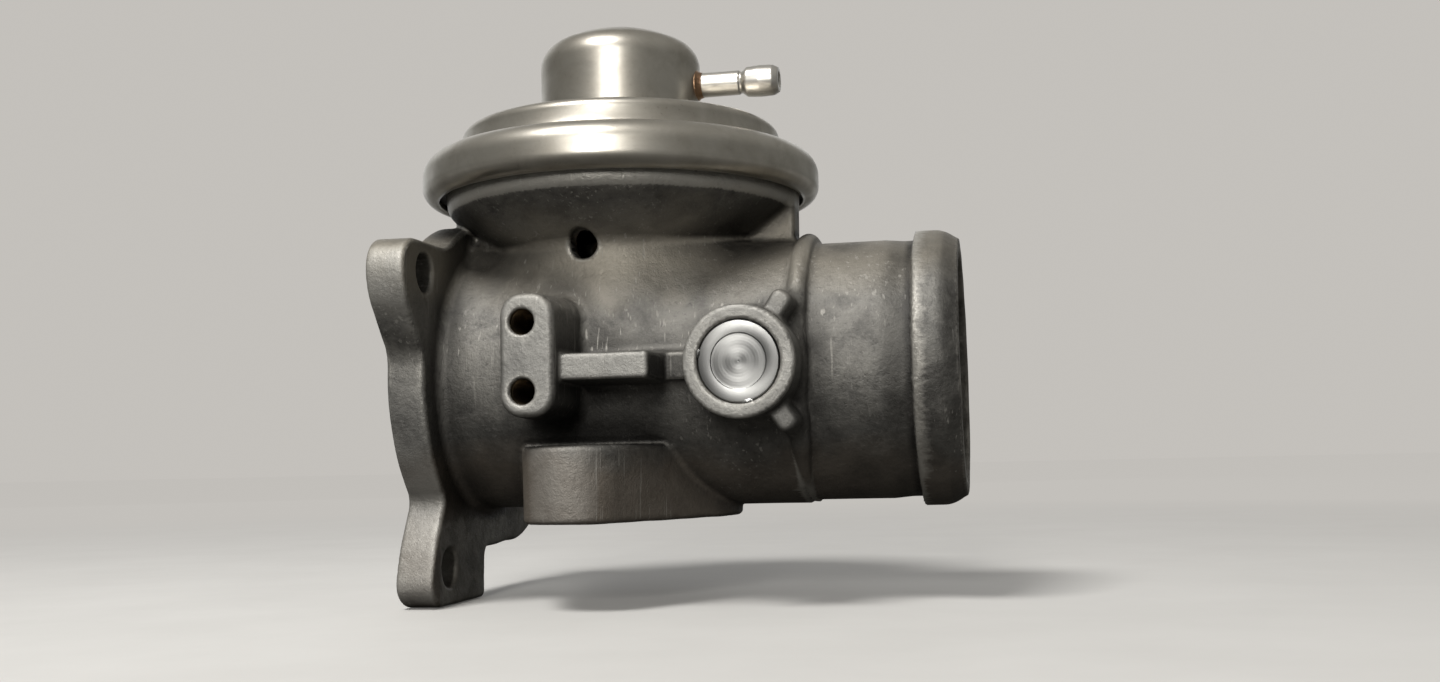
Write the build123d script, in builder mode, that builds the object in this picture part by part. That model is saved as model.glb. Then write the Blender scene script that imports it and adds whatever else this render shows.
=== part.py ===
from build123d import *

import os
from math import cos, hypot, radians, sin, sqrt, tan

# Vacuum-operated exhaust gas recirculation valve, in millimetres.
#
# +X runs along the air duct, from the face that bolts to the intake manifold (X = 0) to the
# hose spigot. +Z runs up the valve stem to the vacuum capsule. The origin is the centre of the
# duct where it opens in the manifold face. The side with the two-hole pad faces -Y.

# ---------------------------------------------------------------- clearances between the pieces
running_gap = 0.05      # stem in its bush, on the radius
fit_gap = 0.02          # pressed or brazed pieces, on the radius
loose_gap = 0.3         # pieces that pass or face each other with air between them

# ---------------------------------------------------------------- duct
duct_length = 119.0
bore_r = 25.5
manifold_bore_r = 26.5
manifold_bore_depth = 12.0
body_r = 29.2
spigot_r = 28.5
spigot_length = 30.8
spigot_start_x = duct_length - spigot_length
collar_r = 30.9
collar_width = 4.2
hose_bead_r = 30.1
hose_bead_width = 9.4
hose_bead_start_x = duct_length - hose_bead_width
hose_bead_rise = 1.9
spigot_waist_r = 28.1
spigot_waist_width = 3.6
spigot_lip_r = 28.3
spigot_mouth_chamfer = 1.2

# ---------------------------------------------------------------- manifold flange
flange_thickness = 8.5
flange_rim_r = 36.7
flange_hole_r = 4.2
flange_edge_chamfer = 0.6
hub_blend_r = 1.2
lug_corner_r = 7.0
front_lug_y = -46.8
front_lug_top_z = 28.4
front_lug_waist_z = 17.5
front_lug_root = (-37.4, 5.0)
front_hole = (-35.7, 21.6)
lower_lug_y = -33.3
lower_lug_end_y = -2.6
lower_lug_bottom_z = -49.4
lower_lug_waist_z = -41.5
lower_lug_root = (-25.3, -26.5)
lower_lug_heel_r = 1.6
lower_hole = (-23.1, -41.2)
rear_hole = (38.0, -12.0)
rear_lug_r = 9.8
rear_web_r = 24.0
rear_web = (16.0, -13.6)
rear_web_overlap = 1.0
groove_inner_r = 28.3
groove_width = 3.2
groove_depth = 2.9
o_ring_section_r = 1.4

# ---------------------------------------------------------------- skirt of the capsule cover
cover_sheet = 1.2
skirt_r = 45.6
skirt_bottom_z = 40.1
skirt_top_z = 45.7

# ---------------------------------------------------------------- valve axis, neck and capsule seat
axis_x = 42.0
neck_r = 26.2
neck_blend_share = 0.38
neck_blend_r = neck_blend_share * (spigot_start_x - collar_width - axis_x - neck_r)
neck_top_z = 29.8
rim_r = skirt_r - cover_sheet - loose_gap
rim_step = 3.9
rim_width = 6.7
rim_bottom_z = skirt_bottom_z + cover_sheet + loose_gap
rim_height = 5.2
rim_top_z = rim_bottom_z + rim_height
bowl_root_r = 28.7
bowl_root_drop = 1.0
bowl_lip_r = rim_r - rim_step
bowl_lip_z = 37.8
bowl_inner_r = rim_r - rim_width
bowl_wall = 3.2
neck_cavity_r = 20.5
cavity_floor_wall = 3.4
guide_boss_r = 10.5
guide_boss_bottom_z = 22.0
guide_boss_top_z = 33.0
vent_hole_r = 3.1
vent_hole_z = 27.4
vent_hole_offset_x = -1.6
gusset_thickness = 8.0
gusset_outer_x = 40.9

# ---------------------------------------------------------------- exhaust inlet below the valve
inlet_face_z = -31.6
inlet_top_z = -15.7
inlet_disc_r = 26.4
inlet_bolt_radius = 31.0
inlet_bolt_angle = 86.3
inlet_lug_r = 12.0
inlet_thread_r = 3.4
inlet_thread_depth = 13.0
inlet_edge_r = 1.2
seat_outer_r = 16.5
seat_inner_r = 12.5
seat_top_z = -26.0
seat_height = 4.6
seat_shoulder = 1.3
seat_chamfer = 0.8

# ---------------------------------------------------------------- side pad, rib, shaft boss, tabs
pad_face_y = -46.0
pad_offset_x = -7.65
pad_z = 2.5
pad_width = 11.5
pad_height = 25.0
pad_corner_r = 3.0
pad_edge_r = 0.9
pad_draft = 2.5
pad_root_y = -18.0
pad_hole_r = 2.65
pad_hole_offset_x = -8.6
pad_hole_z = 2.15
pad_hole_spacing = 14.0
pad_hole_depth = 15.0
rib_face_y = -43.0
rib_height = 5.5
rib_end_offset_x = 16.6
rib_edge_r = 0.6
low_rib_face_y = -31.6
boss_offset_x = 34.6
boss_face_y = -42.0
boss_r = 11.4
boss_edge_r = 0.6
plug_seat_r = 8.0
plug_seat_depth = 6.0
shaft_bore_r = 4.0
rear_boss_r = 8.0
rear_boss_y = 34.0
rear_boss_wall = 3.5
tab_face_y = -38.0
tab_width = 4.4
tab_reach = 16.6
tab_root = 9.0
tab_angles = (57.0, -54.0)
tab_end_r = 1.2
side_root_y = -20.0

# ---------------------------------------------------------------- moving valve
lift = 6.0
stem_r = 4.0
stem_thread_r = 3.0
rivet_height = 0.3
stem_end_chamfer = 0.5
disc_r = 14.2
disc_thickness = 3.0
disc_chamfer = 0.6
disc_hub_r = 6.5
disc_hub_height = 4.0
shield_r = 12.4
shield_sheet = 0.9
shield_rim = 3.4
stop_collar_r = 6.6
stop_collar_height = 2.9
bush_r = 7.0
bush_flange = 1.2
seal_height = 3.0
retainer_sheet = 0.9
retainer_overlap = 2.6
plate_sheet = 1.2
plate_bend_r = 2.0
plate_z = 39.5
roll_width = 6.9
upper_plate_r = bowl_inner_r - roll_width
upper_plate_rim = 4.6
plate_step = 4.0
lower_plate_r = upper_plate_r - plate_step
lower_plate_rim = 2.6
washer_r = 8.0
washer_thickness = 1.2
nut_across_flats = 10.0
nut_height = 5.0
stem_thread_end = 1.5

# ---------------------------------------------------------------- diaphragm, spring and cover
diaphragm_thickness = 0.8
diaphragm_foot_gap = 0.5
bead_width = 3.4
bead_margin = 1.3
bead_inner_r = rim_r - bead_margin - bead_width
bead_height = 1.6
crimp_r = 1.9
crimp_reach = 3.0
skirt_corner_r = 4.8
rim_slope = 8.0
slope_width = 8.4
shoulder_step_r = skirt_r - slope_width
shoulder_draft = 0.5
shoulder_r = shoulder_step_r - shoulder_draft
shoulder_bend_z = 54.6
shoulder_bend_r = 2.2
shoulder_slope = 7.0
shoulder_top_z = 58.6
cap_r = 18.6
cap_foot_r = 1.2
cap_wall_top_z = 72.2
cap_corner_r = 6.0
cap_dome_angle = 27.5
spring_seat_margin = 1.7
spring_seat_r = cap_r - cover_sheet - spring_seat_margin
spring_seat_z = 74.6
spring_seat_sheet = 1.0
spring_wire_r = 1.2
spring_margin = 0.9
spring_mean_r = spring_seat_r - spring_wire_r - spring_margin
cup_gap = 1.0
stop_cup_r = spring_mean_r - spring_wire_r - cup_gap
spring_turns = 6
nipple_z = 67.3
nipple_tube_r = 2.7
nipple_bore_r = 1.7
nipple_bead_r = 3.75
nipple_bead_offset_x = 28.7
nipple_end_offset_x = 37.6
nipple_inside = 1.6
nipple_hole_run = 6.0
nipple_groove = 0.3
nipple_chamfer = 0.8
braze_r = 0.9

# ---------------------------------------------------------------- shaft bore plug
plug_recess_r = 5.1
plug_recess_depth = 0.2
plug_step = 0.35
plug_gap = 0.12

os.makedirs("parts", exist_ok=True)
valve_axis = Plane((axis_x, 0, 0))
valve_section = Plane((axis_x, 0, 0), x_dir=(1, 0, 0), z_dir=(0, -1, 0))
stem_line = Axis((axis_x, 0, 0), (0, 0, 1))
boss_x = axis_x + boss_offset_x

# The inside of the bowl runs parallel to its outside, one wall inward.
cone_slope = (bowl_lip_z - neck_top_z) / (bowl_lip_r - bowl_root_r)
cone_step_z = bowl_wall * sqrt(1 + cone_slope**2)
cavity_cone_z = neck_top_z + cone_step_z + (neck_cavity_r - bowl_root_r) * cone_slope
bowl_inner_z = neck_top_z + cone_step_z + (bowl_inner_r - bowl_root_r) * cone_slope

# ================================================================ housing
# The space inside the neck and the bowl stays clear of the duct wall and of the guide boss.
with BuildPart() as bowl_space:
    with BuildSketch(valve_section):
        with BuildLine():
            Polyline(
                (0, 0),
                (neck_cavity_r, 0),
                (neck_cavity_r, cavity_cone_z),
                (bowl_inner_r, bowl_inner_z),
                (bowl_inner_r, rim_top_z),
                (0, rim_top_z),
                close=True,
            )
        make_face()
    revolve(axis=stem_line)
    with BuildSketch(Plane.YZ):
        Circle(bore_r + cavity_floor_wall)
    extrude(amount=duct_length, mode=Mode.SUBTRACT)
    with BuildSketch(valve_axis):
        Circle(guide_boss_r)
    extrude(amount=guide_boss_top_z, mode=Mode.SUBTRACT)

# One aluminium casting: duct, manifold flange, inlet flange, neck and the bowl of the capsule.
with BuildPart() as housing:
    # Manifold flange: a round plate with two lugs on the pad side and one lug behind.
    with BuildSketch(Plane.YZ) as flange_outline:
        Circle(flange_rim_r)
        with BuildLine():
            Polyline(
                (front_lug_root[0] / 2, front_lug_top_z),
                (front_lug_y, front_lug_top_z),
                (front_lug_y, front_lug_waist_z),
                front_lug_root,
                (front_lug_root[0] / 2, front_lug_root[1]),
                close=True,
            )
        make_face()
        with BuildLine():
            Polyline(
                lower_lug_root,
                (lower_lug_y, lower_lug_waist_z),
                (lower_lug_y, lower_lug_bottom_z),
                (lower_lug_end_y, lower_lug_bottom_z),
                (lower_lug_end_y, lower_lug_root[1]),
                close=True,
            )
        make_face()
        with Locations(rear_web):
            Circle(rear_web_r)
        with BuildLine():
            Polyline(
                (lower_lug_end_y - rear_web_overlap, 0),
                (lower_lug_end_y - rear_web_overlap, rear_web[1] - rear_web_r),
                (rear_web[0], rear_web[1] - rear_web_r),
                (rear_web[0], 0),
                close=True,
            )
        make_face()
        with Locations(rear_hole):
            Circle(rear_lug_r)
        for corner, corner_r in (
            ((front_lug_y, front_lug_top_z), lug_corner_r),
            ((front_lug_y, front_lug_waist_z), lug_corner_r / 2),
            ((lower_lug_y, lower_lug_bottom_z), lug_corner_r),
            ((lower_lug_end_y, lower_lug_bottom_z), lower_lug_heel_r),
        ):
            fillet(flange_outline.vertices().sort_by_distance(corner)[0], radius=corner_r)
    extrude(amount=flange_thickness)
    chamfer(housing.faces().sort_by(Axis.X)[-1].edges(), length=flange_edge_chamfer)

    # Duct outside, with the collar that stops the hose and the bead that keeps it on.
    collar_x = spigot_start_x - collar_width
    waist_x = hose_bead_start_x - spigot_waist_width
    crown_x = hose_bead_start_x + hose_bead_rise
    crown_end_x = duct_length - hose_bead_rise
    with BuildSketch(Plane.XZ):
        with BuildLine():
            Polyline((0, 0), (0, body_r), (collar_x, body_r))
            ThreePointArc(
                (collar_x, body_r),
                (collar_x + collar_width * 0.5, collar_r),
                (spigot_start_x, spigot_r),
            )
            Polyline(
                (spigot_start_x, spigot_r),
                (waist_x, spigot_r),
                (waist_x + spigot_r - spigot_waist_r, spigot_waist_r),
                (hose_bead_start_x, spigot_waist_r),
                (hose_bead_start_x, spigot_lip_r),
            )
            RadiusArc((hose_bead_start_x, spigot_lip_r), (crown_x, hose_bead_r), hose_bead_rise)
            Line((crown_x, hose_bead_r), (crown_end_x, hose_bead_r))
            RadiusArc((crown_end_x, hose_bead_r), (duct_length, spigot_lip_r), hose_bead_rise)
            Polyline((duct_length, spigot_lip_r), (duct_length, 0), (0, 0))
        make_face()
    revolve(axis=Axis.X)
    hub_joint = housing.edges().filter_by(GeomType.CIRCLE).filter_by_position(
        Axis.X, flange_thickness - 0.01, flange_thickness + 0.01
    )
    fillet([e for e in hub_joint if abs(e.radius - body_r) < 0.01], radius=hub_blend_r)

    # Neck, with a soft blend into the duct.
    with BuildSketch(valve_axis):
        Circle(neck_r)
    extrude(amount=rim_bottom_z)
    neck_joint = [
        e
        for e in housing.edges()
        if e.geom_type not in (GeomType.LINE, GeomType.CIRCLE)
        and abs(hypot((e @ 0.5).X - axis_x, (e @ 0.5).Y) - neck_r) < 0.05
    ]
    fillet(neck_joint, radius=neck_blend_r)

    # Bowl and rim that carry the capsule, and the gusset that props them on the spigot side.
    with BuildSketch(valve_section):
        with BuildLine():
            Polyline(
                (0, neck_top_z - bowl_root_drop),
                (neck_r, neck_top_z - bowl_root_drop),
                (bowl_root_r, neck_top_z),
                (bowl_lip_r, bowl_lip_z),
                (bowl_lip_r, rim_bottom_z),
                (rim_r, rim_bottom_z),
                (rim_r, rim_top_z),
                (0, rim_top_z),
                close=True,
            )
        make_face()
    revolve(axis=stem_line)
    with BuildSketch(valve_section) as gusset_face:
        with Locations((0, bore_r)):
            Rectangle(gusset_outer_x, rim_bottom_z - bore_r, align=(Align.MIN, Align.MIN))
    extrude(amount=gusset_thickness / 2, both=True)

    # Inlet flange below the valve: a disc with two bolt lugs and straight walls between them.
    inlet_plane = valve_axis.offset(inlet_face_z)
    with BuildSketch(inlet_plane) as inlet_outline:
        Circle(inlet_disc_r)
        with PolarLocations(inlet_bolt_radius, 2, inlet_bolt_angle):
            Circle(inlet_lug_r)
        make_hull()
    extrude(amount=inlet_top_z - inlet_face_z)

    # Two-hole pad, drafted towards the mould parting, with its rib to the shaft boss.
    with BuildSketch(Plane.XZ.offset(-pad_face_y)) as pad_outline:
        with Locations((axis_x + pad_offset_x, pad_z)):
            RectangleRounded(pad_width, pad_height, pad_corner_r)
    extrude(amount=-(pad_root_y - pad_face_y), taper=-pad_draft)
    with BuildSketch(Plane.XZ.offset(-rib_face_y)):
        with Locations((axis_x + pad_offset_x, 0)):
            Rectangle(
                rib_end_offset_x - pad_offset_x, rib_height, align=(Align.MIN, Align.CENTER)
            )
    extrude(amount=-(side_root_y - rib_face_y))
    with BuildSketch(Plane.XZ.offset(-low_rib_face_y)):
        with Locations((axis_x, 0)):
            Rectangle(boss_offset_x, rib_height, align=(Align.MIN, Align.CENTER))
    extrude(amount=-(side_root_y - low_rib_face_y))

    # Shaft boss with its two stop tabs, and the closed bearing boss behind the duct.
    with BuildSketch(Plane.XZ.offset(-boss_face_y)):
        with Locations((boss_x, 0)):
            Circle(boss_r)
    extrude(amount=-(side_root_y - boss_face_y))
    with BuildSketch(Plane.XZ.offset(-tab_face_y)):
        for angle in tab_angles:
            tab_x = tab_root * cos(radians(angle))
            tab_z = tab_root * sin(radians(angle))
            with Locations(Location((boss_x + tab_x, tab_z), angle)):
                Rectangle(tab_reach - tab_root, tab_width, align=(Align.MIN, Align.CENTER))
    extrude(amount=-(side_root_y - tab_face_y))
    with BuildSketch(Plane.XZ.offset(-rear_boss_y)):
        with Locations((boss_x, 0)):
            Circle(rear_boss_r)
    extrude(amount=rear_boss_y + side_root_y)

    # Bores: the duct, the space in the bowl, the valve port and the shaft bore.
    with BuildSketch(Plane.YZ):
        Circle(bore_r)
    extrude(amount=duct_length, mode=Mode.SUBTRACT)
    with BuildSketch(Plane.YZ):
        Circle(manifold_bore_r)
    extrude(amount=manifold_bore_depth, mode=Mode.SUBTRACT)
    add(bowl_space.part, mode=Mode.SUBTRACT)
    with BuildSketch(valve_axis.offset(guide_boss_bottom_z)):
        Circle(guide_boss_r)
    extrude(amount=guide_boss_top_z - guide_boss_bottom_z)
    with BuildSketch(valve_axis.offset(guide_boss_bottom_z)):
        Circle(bush_r)
    extrude(amount=guide_boss_top_z - guide_boss_bottom_z, mode=Mode.SUBTRACT)
    with BuildSketch(inlet_plane):
        Circle(seat_outer_r)
    extrude(amount=seat_top_z - inlet_face_z, mode=Mode.SUBTRACT)
    with BuildSketch(inlet_plane):
        Circle(seat_outer_r - seat_shoulder)
    extrude(amount=-inlet_face_z, mode=Mode.SUBTRACT)
    with BuildSketch(Plane.XZ.offset(-boss_face_y)):
        with Locations((boss_x, 0)):
            Circle(plug_seat_r)
    extrude(amount=-plug_seat_depth, mode=Mode.SUBTRACT)
    with BuildSketch(Plane.XZ.offset(-boss_face_y)):
        with Locations((boss_x, 0)):
            Circle(shaft_bore_r)
    extrude(amount=boss_face_y - rear_boss_y + rear_boss_wall, mode=Mode.SUBTRACT)

    # Bolt holes, tapped holes, the vent of the bowl and the ring groove in the manifold face.
    with BuildSketch(Plane.YZ):
        with Locations(front_hole, lower_hole, rear_hole):
            Circle(flange_hole_r)
    extrude(amount=flange_thickness, mode=Mode.SUBTRACT)
    with BuildSketch(Plane.YZ):
        Circle(groove_inner_r + groove_width)
        Circle(groove_inner_r, mode=Mode.SUBTRACT)
    extrude(amount=groove_depth, mode=Mode.SUBTRACT)
    with BuildSketch(inlet_plane):
        with PolarLocations(inlet_bolt_radius, 2, inlet_bolt_angle):
            Circle(inlet_thread_r)
    extrude(amount=inlet_thread_depth, mode=Mode.SUBTRACT)
    with BuildSketch(Plane.XZ.offset(-pad_face_y)):
        with Locations((axis_x + pad_hole_offset_x, pad_hole_z)):
            with GridLocations(0, pad_hole_spacing, 1, 2):
                Circle(pad_hole_r)
    extrude(amount=-pad_hole_depth, mode=Mode.SUBTRACT)
    with BuildSketch(Plane.XZ):
        with Locations((axis_x + vent_hole_offset_x, vent_hole_z)):
            Circle(vent_hole_r)
    extrude(amount=rim_r, mode=Mode.SUBTRACT)
housing.part.label = "housing"
export_step(housing.part, "parts/housing.step")

# ================================================================ ring in the manifold face
with BuildPart() as flange_o_ring:
    with BuildSketch(Plane.XY):
        with Locations((groove_depth - o_ring_section_r, groove_inner_r + groove_width / 2)):
            Circle(o_ring_section_r)
    revolve(axis=Axis.X)
flange_o_ring.part.label = "flange_o_ring"
export_step(flange_o_ring.part, "parts/flange_o_ring.step")

# ================================================================ valve seat
with BuildPart() as valve_seat:
    with BuildSketch(valve_axis.offset(seat_top_z - seat_height)):
        Circle(seat_outer_r - fit_gap)
        Circle(seat_inner_r, mode=Mode.SUBTRACT)
    extrude(amount=seat_height)
    seat_edges = valve_seat.edges().filter_by(GeomType.CIRCLE).group_by(SortBy.RADIUS)[0]
    chamfer(seat_edges, length=seat_chamfer)
valve_seat.part.label = "valve_seat"
export_step(valve_seat.part, "parts/valve_seat.step")

# ================================================================ valve disc and stem
disc_top_z = seat_top_z + disc_thickness
hub_top_z = disc_top_z + disc_hub_height
with BuildPart() as valve_disc:
    with BuildSketch(valve_section):
        with BuildLine():
            Polyline(
                (stem_thread_r + fit_gap, seat_top_z),
                (disc_r - disc_chamfer, seat_top_z),
                (disc_r, seat_top_z + disc_chamfer),
                (disc_r, disc_top_z - disc_chamfer),
                (disc_r - disc_chamfer, disc_top_z),
                (disc_hub_r + disc_hub_height / 2, disc_top_z),
                (disc_hub_r, hub_top_z),
                (stem_thread_r + fit_gap, hub_top_z),
                close=True,
            )
        make_face()
    revolve(axis=stem_line)
valve_disc.part.label = "valve_disc"
export_step(valve_disc.part, "parts/valve_disc.step")

lower_plate_z = plate_z - plate_sheet
collar_z = lower_plate_z - stop_collar_height
upper_plate_z = plate_z + diaphragm_thickness
washer_z = upper_plate_z + plate_sheet
nut_z = washer_z + washer_thickness
stem_top_z = nut_z + nut_height + stem_thread_end
with BuildPart() as valve_stem:
    with BuildSketch(valve_section):
        with BuildLine():
            Polyline(
                (0, seat_top_z - rivet_height),
                (stem_thread_r, seat_top_z - rivet_height),
                (stem_thread_r, hub_top_z),
                (stem_r, hub_top_z),
                (stem_r, collar_z),
                (stem_thread_r, collar_z),
                (stem_thread_r, stem_top_z - stem_end_chamfer),
                (stem_thread_r - stem_end_chamfer, stem_top_z),
                (0, stem_top_z),
                close=True,
            )
        make_face()
    revolve(axis=stem_line)
valve_stem.part.label = "valve_stem"
export_step(valve_stem.part, "parts/valve_stem.step")

with BuildPart() as stem_collar:
    with BuildSketch(valve_axis.offset(collar_z)):
        Circle(stop_collar_r)
        Circle(stem_thread_r + fit_gap, mode=Mode.SUBTRACT)
    extrude(amount=stop_collar_height)
    chamfer(stem_collar.faces().sort_by(Axis.Z)[0].edges().sort_by(SortBy.RADIUS)[-1], length=0.6)
stem_collar.part.label = "stem_collar"
export_step(stem_collar.part, "parts/stem_collar.step")

# ================================================================ guide of the stem
bush_bottom_z = guide_boss_bottom_z - shield_sheet - bush_flange
seal_z = guide_boss_top_z - seal_height
with BuildPart() as guide_bush:
    with BuildSketch(valve_section):
        with BuildLine():
            Polyline(
                (stem_r + running_gap, bush_bottom_z),
                (bush_r + bush_flange, bush_bottom_z),
                (bush_r + bush_flange, bush_bottom_z + bush_flange),
                (bush_r - fit_gap, bush_bottom_z + bush_flange),
                (bush_r - fit_gap, seal_z),
                (stem_r + running_gap, seal_z),
                close=True,
            )
        make_face()
    revolve(axis=stem_line)
guide_bush.part.label = "guide_bush"
export_step(guide_bush.part, "parts/guide_bush.step")

with BuildPart() as heat_shield:
    with BuildSketch(valve_axis.offset(guide_boss_bottom_z - shield_rim)):
        Circle(shield_r)
    extrude(amount=shield_rim)
    with BuildSketch(valve_axis.offset(guide_boss_bottom_z - shield_rim)):
        Circle(shield_r - shield_sheet)
    extrude(amount=shield_rim - shield_sheet, mode=Mode.SUBTRACT)
    with BuildSketch(valve_axis.offset(guide_boss_bottom_z - shield_rim)):
        Circle(bush_r)
    extrude(amount=shield_rim, mode=Mode.SUBTRACT)
heat_shield.part.label = "heat_shield"
export_step(heat_shield.part, "parts/heat_shield.step")

with BuildPart() as stem_seal:
    with BuildSketch(valve_axis.offset(seal_z)):
        Circle(bush_r - fit_gap)
        Circle(stem_r + running_gap, mode=Mode.SUBTRACT)
    extrude(amount=seal_height)
stem_seal.part.label = "stem_seal"
export_step(stem_seal.part, "parts/stem_seal.step")

with BuildPart() as seal_retainer:
    with BuildSketch(valve_axis.offset(seal_z)):
        Circle(guide_boss_r + fit_gap + retainer_sheet)
    extrude(amount=seal_height + retainer_sheet)
    with BuildSketch(valve_axis.offset(seal_z)):
        Circle(guide_boss_r + fit_gap)
    extrude(amount=seal_height, mode=Mode.SUBTRACT)
    with BuildSketch(valve_axis.offset(seal_z)):
        Circle(bush_r - retainer_overlap + fit_gap)
    extrude(amount=seal_height + retainer_sheet, mode=Mode.SUBTRACT)
seal_retainer.part.label = "seal_retainer"
export_step(seal_retainer.part, "parts/seal_retainer.step")

# ================================================================ diaphragm between its plates
# The lower plate is a shallow cup with its rim down, the upper one a deeper cup with its rim up.
with BuildPart() as lower_plate:
    with BuildSketch(valve_section) as lower_plate_section:
        with BuildLine():
            Polyline(
                (stem_thread_r + fit_gap, plate_z),
                (lower_plate_r, plate_z),
                (lower_plate_r, plate_z - lower_plate_rim),
                (lower_plate_r - plate_sheet, plate_z - lower_plate_rim),
                (lower_plate_r - plate_sheet, plate_z - plate_sheet),
                (stem_thread_r + fit_gap, plate_z - plate_sheet),
                close=True,
            )
        make_face()
        bend = lower_plate_section.vertices().sort_by_distance((lower_plate_r, plate_z))[0]
        fillet(bend, radius=plate_bend_r)
        bend_inside = lower_plate_section.vertices().sort_by_distance(
            (lower_plate_r - plate_sheet, plate_z - plate_sheet)
        )[0]
        fillet(bend_inside, radius=plate_bend_r - plate_sheet)
    revolve(axis=stem_line)
lower_plate.part.label = "lower_plate"
export_step(lower_plate.part, "parts/lower_plate.step")

with BuildPart() as upper_plate:
    with BuildSketch(valve_section) as upper_plate_section:
        with BuildLine():
            Polyline(
                (stem_thread_r + fit_gap, upper_plate_z),
                (upper_plate_r, upper_plate_z),
                (upper_plate_r, upper_plate_z + upper_plate_rim),
                (upper_plate_r - plate_sheet, upper_plate_z + upper_plate_rim),
                (upper_plate_r - plate_sheet, upper_plate_z + plate_sheet),
                (stem_thread_r + fit_gap, upper_plate_z + plate_sheet),
                close=True,
            )
        make_face()
        bend = upper_plate_section.vertices().sort_by_distance((upper_plate_r, upper_plate_z))[0]
        fillet(bend, radius=plate_bend_r)
        bend_inside = upper_plate_section.vertices().sort_by_distance(
            (upper_plate_r - plate_sheet, upper_plate_z + plate_sheet)
        )[0]
        fillet(bend_inside, radius=plate_bend_r - plate_sheet)
    revolve(axis=stem_line)
upper_plate.part.label = "upper_plate"
export_step(upper_plate.part, "parts/upper_plate.step")

foot_r = upper_plate_r + diaphragm_foot_gap
top_r = bowl_inner_r - diaphragm_foot_gap
roll_shift = diaphragm_thickness * (
    sqrt((top_r - foot_r) ** 2 + (rim_top_z - plate_z) ** 2) - (top_r - foot_r)
) / (rim_top_z - plate_z)
with BuildPart() as diaphragm:
    with BuildSketch(valve_section):
        with BuildLine():
            Polyline(
                (stem_thread_r + fit_gap, plate_z),
                (foot_r, plate_z),
                (top_r, rim_top_z),
                (bead_inner_r + bead_width, rim_top_z),
                (bead_inner_r + bead_width, rim_top_z + bead_height),
                (bead_inner_r, rim_top_z + bead_height),
                (bead_inner_r, rim_top_z + diaphragm_thickness),
                (top_r - roll_shift, rim_top_z + diaphragm_thickness),
                (foot_r - roll_shift, plate_z + diaphragm_thickness),
                (stem_thread_r + fit_gap, plate_z + diaphragm_thickness),
                close=True,
            )
        make_face()
    revolve(axis=stem_line)
diaphragm.part.label = "diaphragm"
export_step(diaphragm.part, "parts/diaphragm.step")

with BuildPart() as stem_washer:
    with BuildSketch(valve_axis.offset(washer_z)):
        Circle(washer_r)
        Circle(stem_thread_r + fit_gap, mode=Mode.SUBTRACT)
    extrude(amount=washer_thickness)
stem_washer.part.label = "stem_washer"
export_step(stem_washer.part, "parts/stem_washer.step")

with BuildPart() as stem_nut:
    with BuildSketch(valve_axis.offset(nut_z)):
        RegularPolygon(nut_across_flats / 2, 6, major_radius=False)
        Circle(stem_thread_r + fit_gap, mode=Mode.SUBTRACT)
    extrude(amount=nut_height)
stem_nut.part.label = "stem_nut"
export_step(stem_nut.part, "parts/stem_nut.step")

# ================================================================ spring and the cup it pushes on
with BuildPart() as spring_seat:
    stop_z = stem_top_z + lift + loose_gap
    cup_inner_r = stop_cup_r - spring_seat_sheet
    with BuildSketch(valve_section):
        with BuildLine():
            Polyline(
                (0, stop_z),
                (stop_cup_r, stop_z),
                (stop_cup_r, spring_seat_z),
                (spring_seat_r, spring_seat_z),
                (spring_seat_r, spring_seat_z + spring_seat_sheet),
                (cup_inner_r, spring_seat_z + spring_seat_sheet),
                (cup_inner_r, stop_z + spring_seat_sheet),
                (0, stop_z + spring_seat_sheet),
                close=True,
            )
        make_face()
    revolve(axis=stem_line)
spring_seat.part.label = "spring_seat"
export_step(spring_seat.part, "parts/spring_seat.step")

spring_bottom_z = washer_z + spring_wire_r
spring_height = spring_seat_z - spring_wire_r - spring_bottom_z
with BuildPart() as return_spring:
    with BuildLine() as coil:
        Helix(
            pitch=spring_height / spring_turns,
            height=spring_height,
            radius=spring_mean_r,
            center=(axis_x, 0, spring_bottom_z),
        )
    with BuildSketch(Plane(origin=coil.line @ 0, z_dir=coil.line % 0)):
        RegularPolygon(spring_wire_r, 8)
    sweep(path=coil.line, is_frenet=True)
return_spring.part.label = "return_spring"
export_step(return_spring.part, "parts/return_spring.step")

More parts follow.
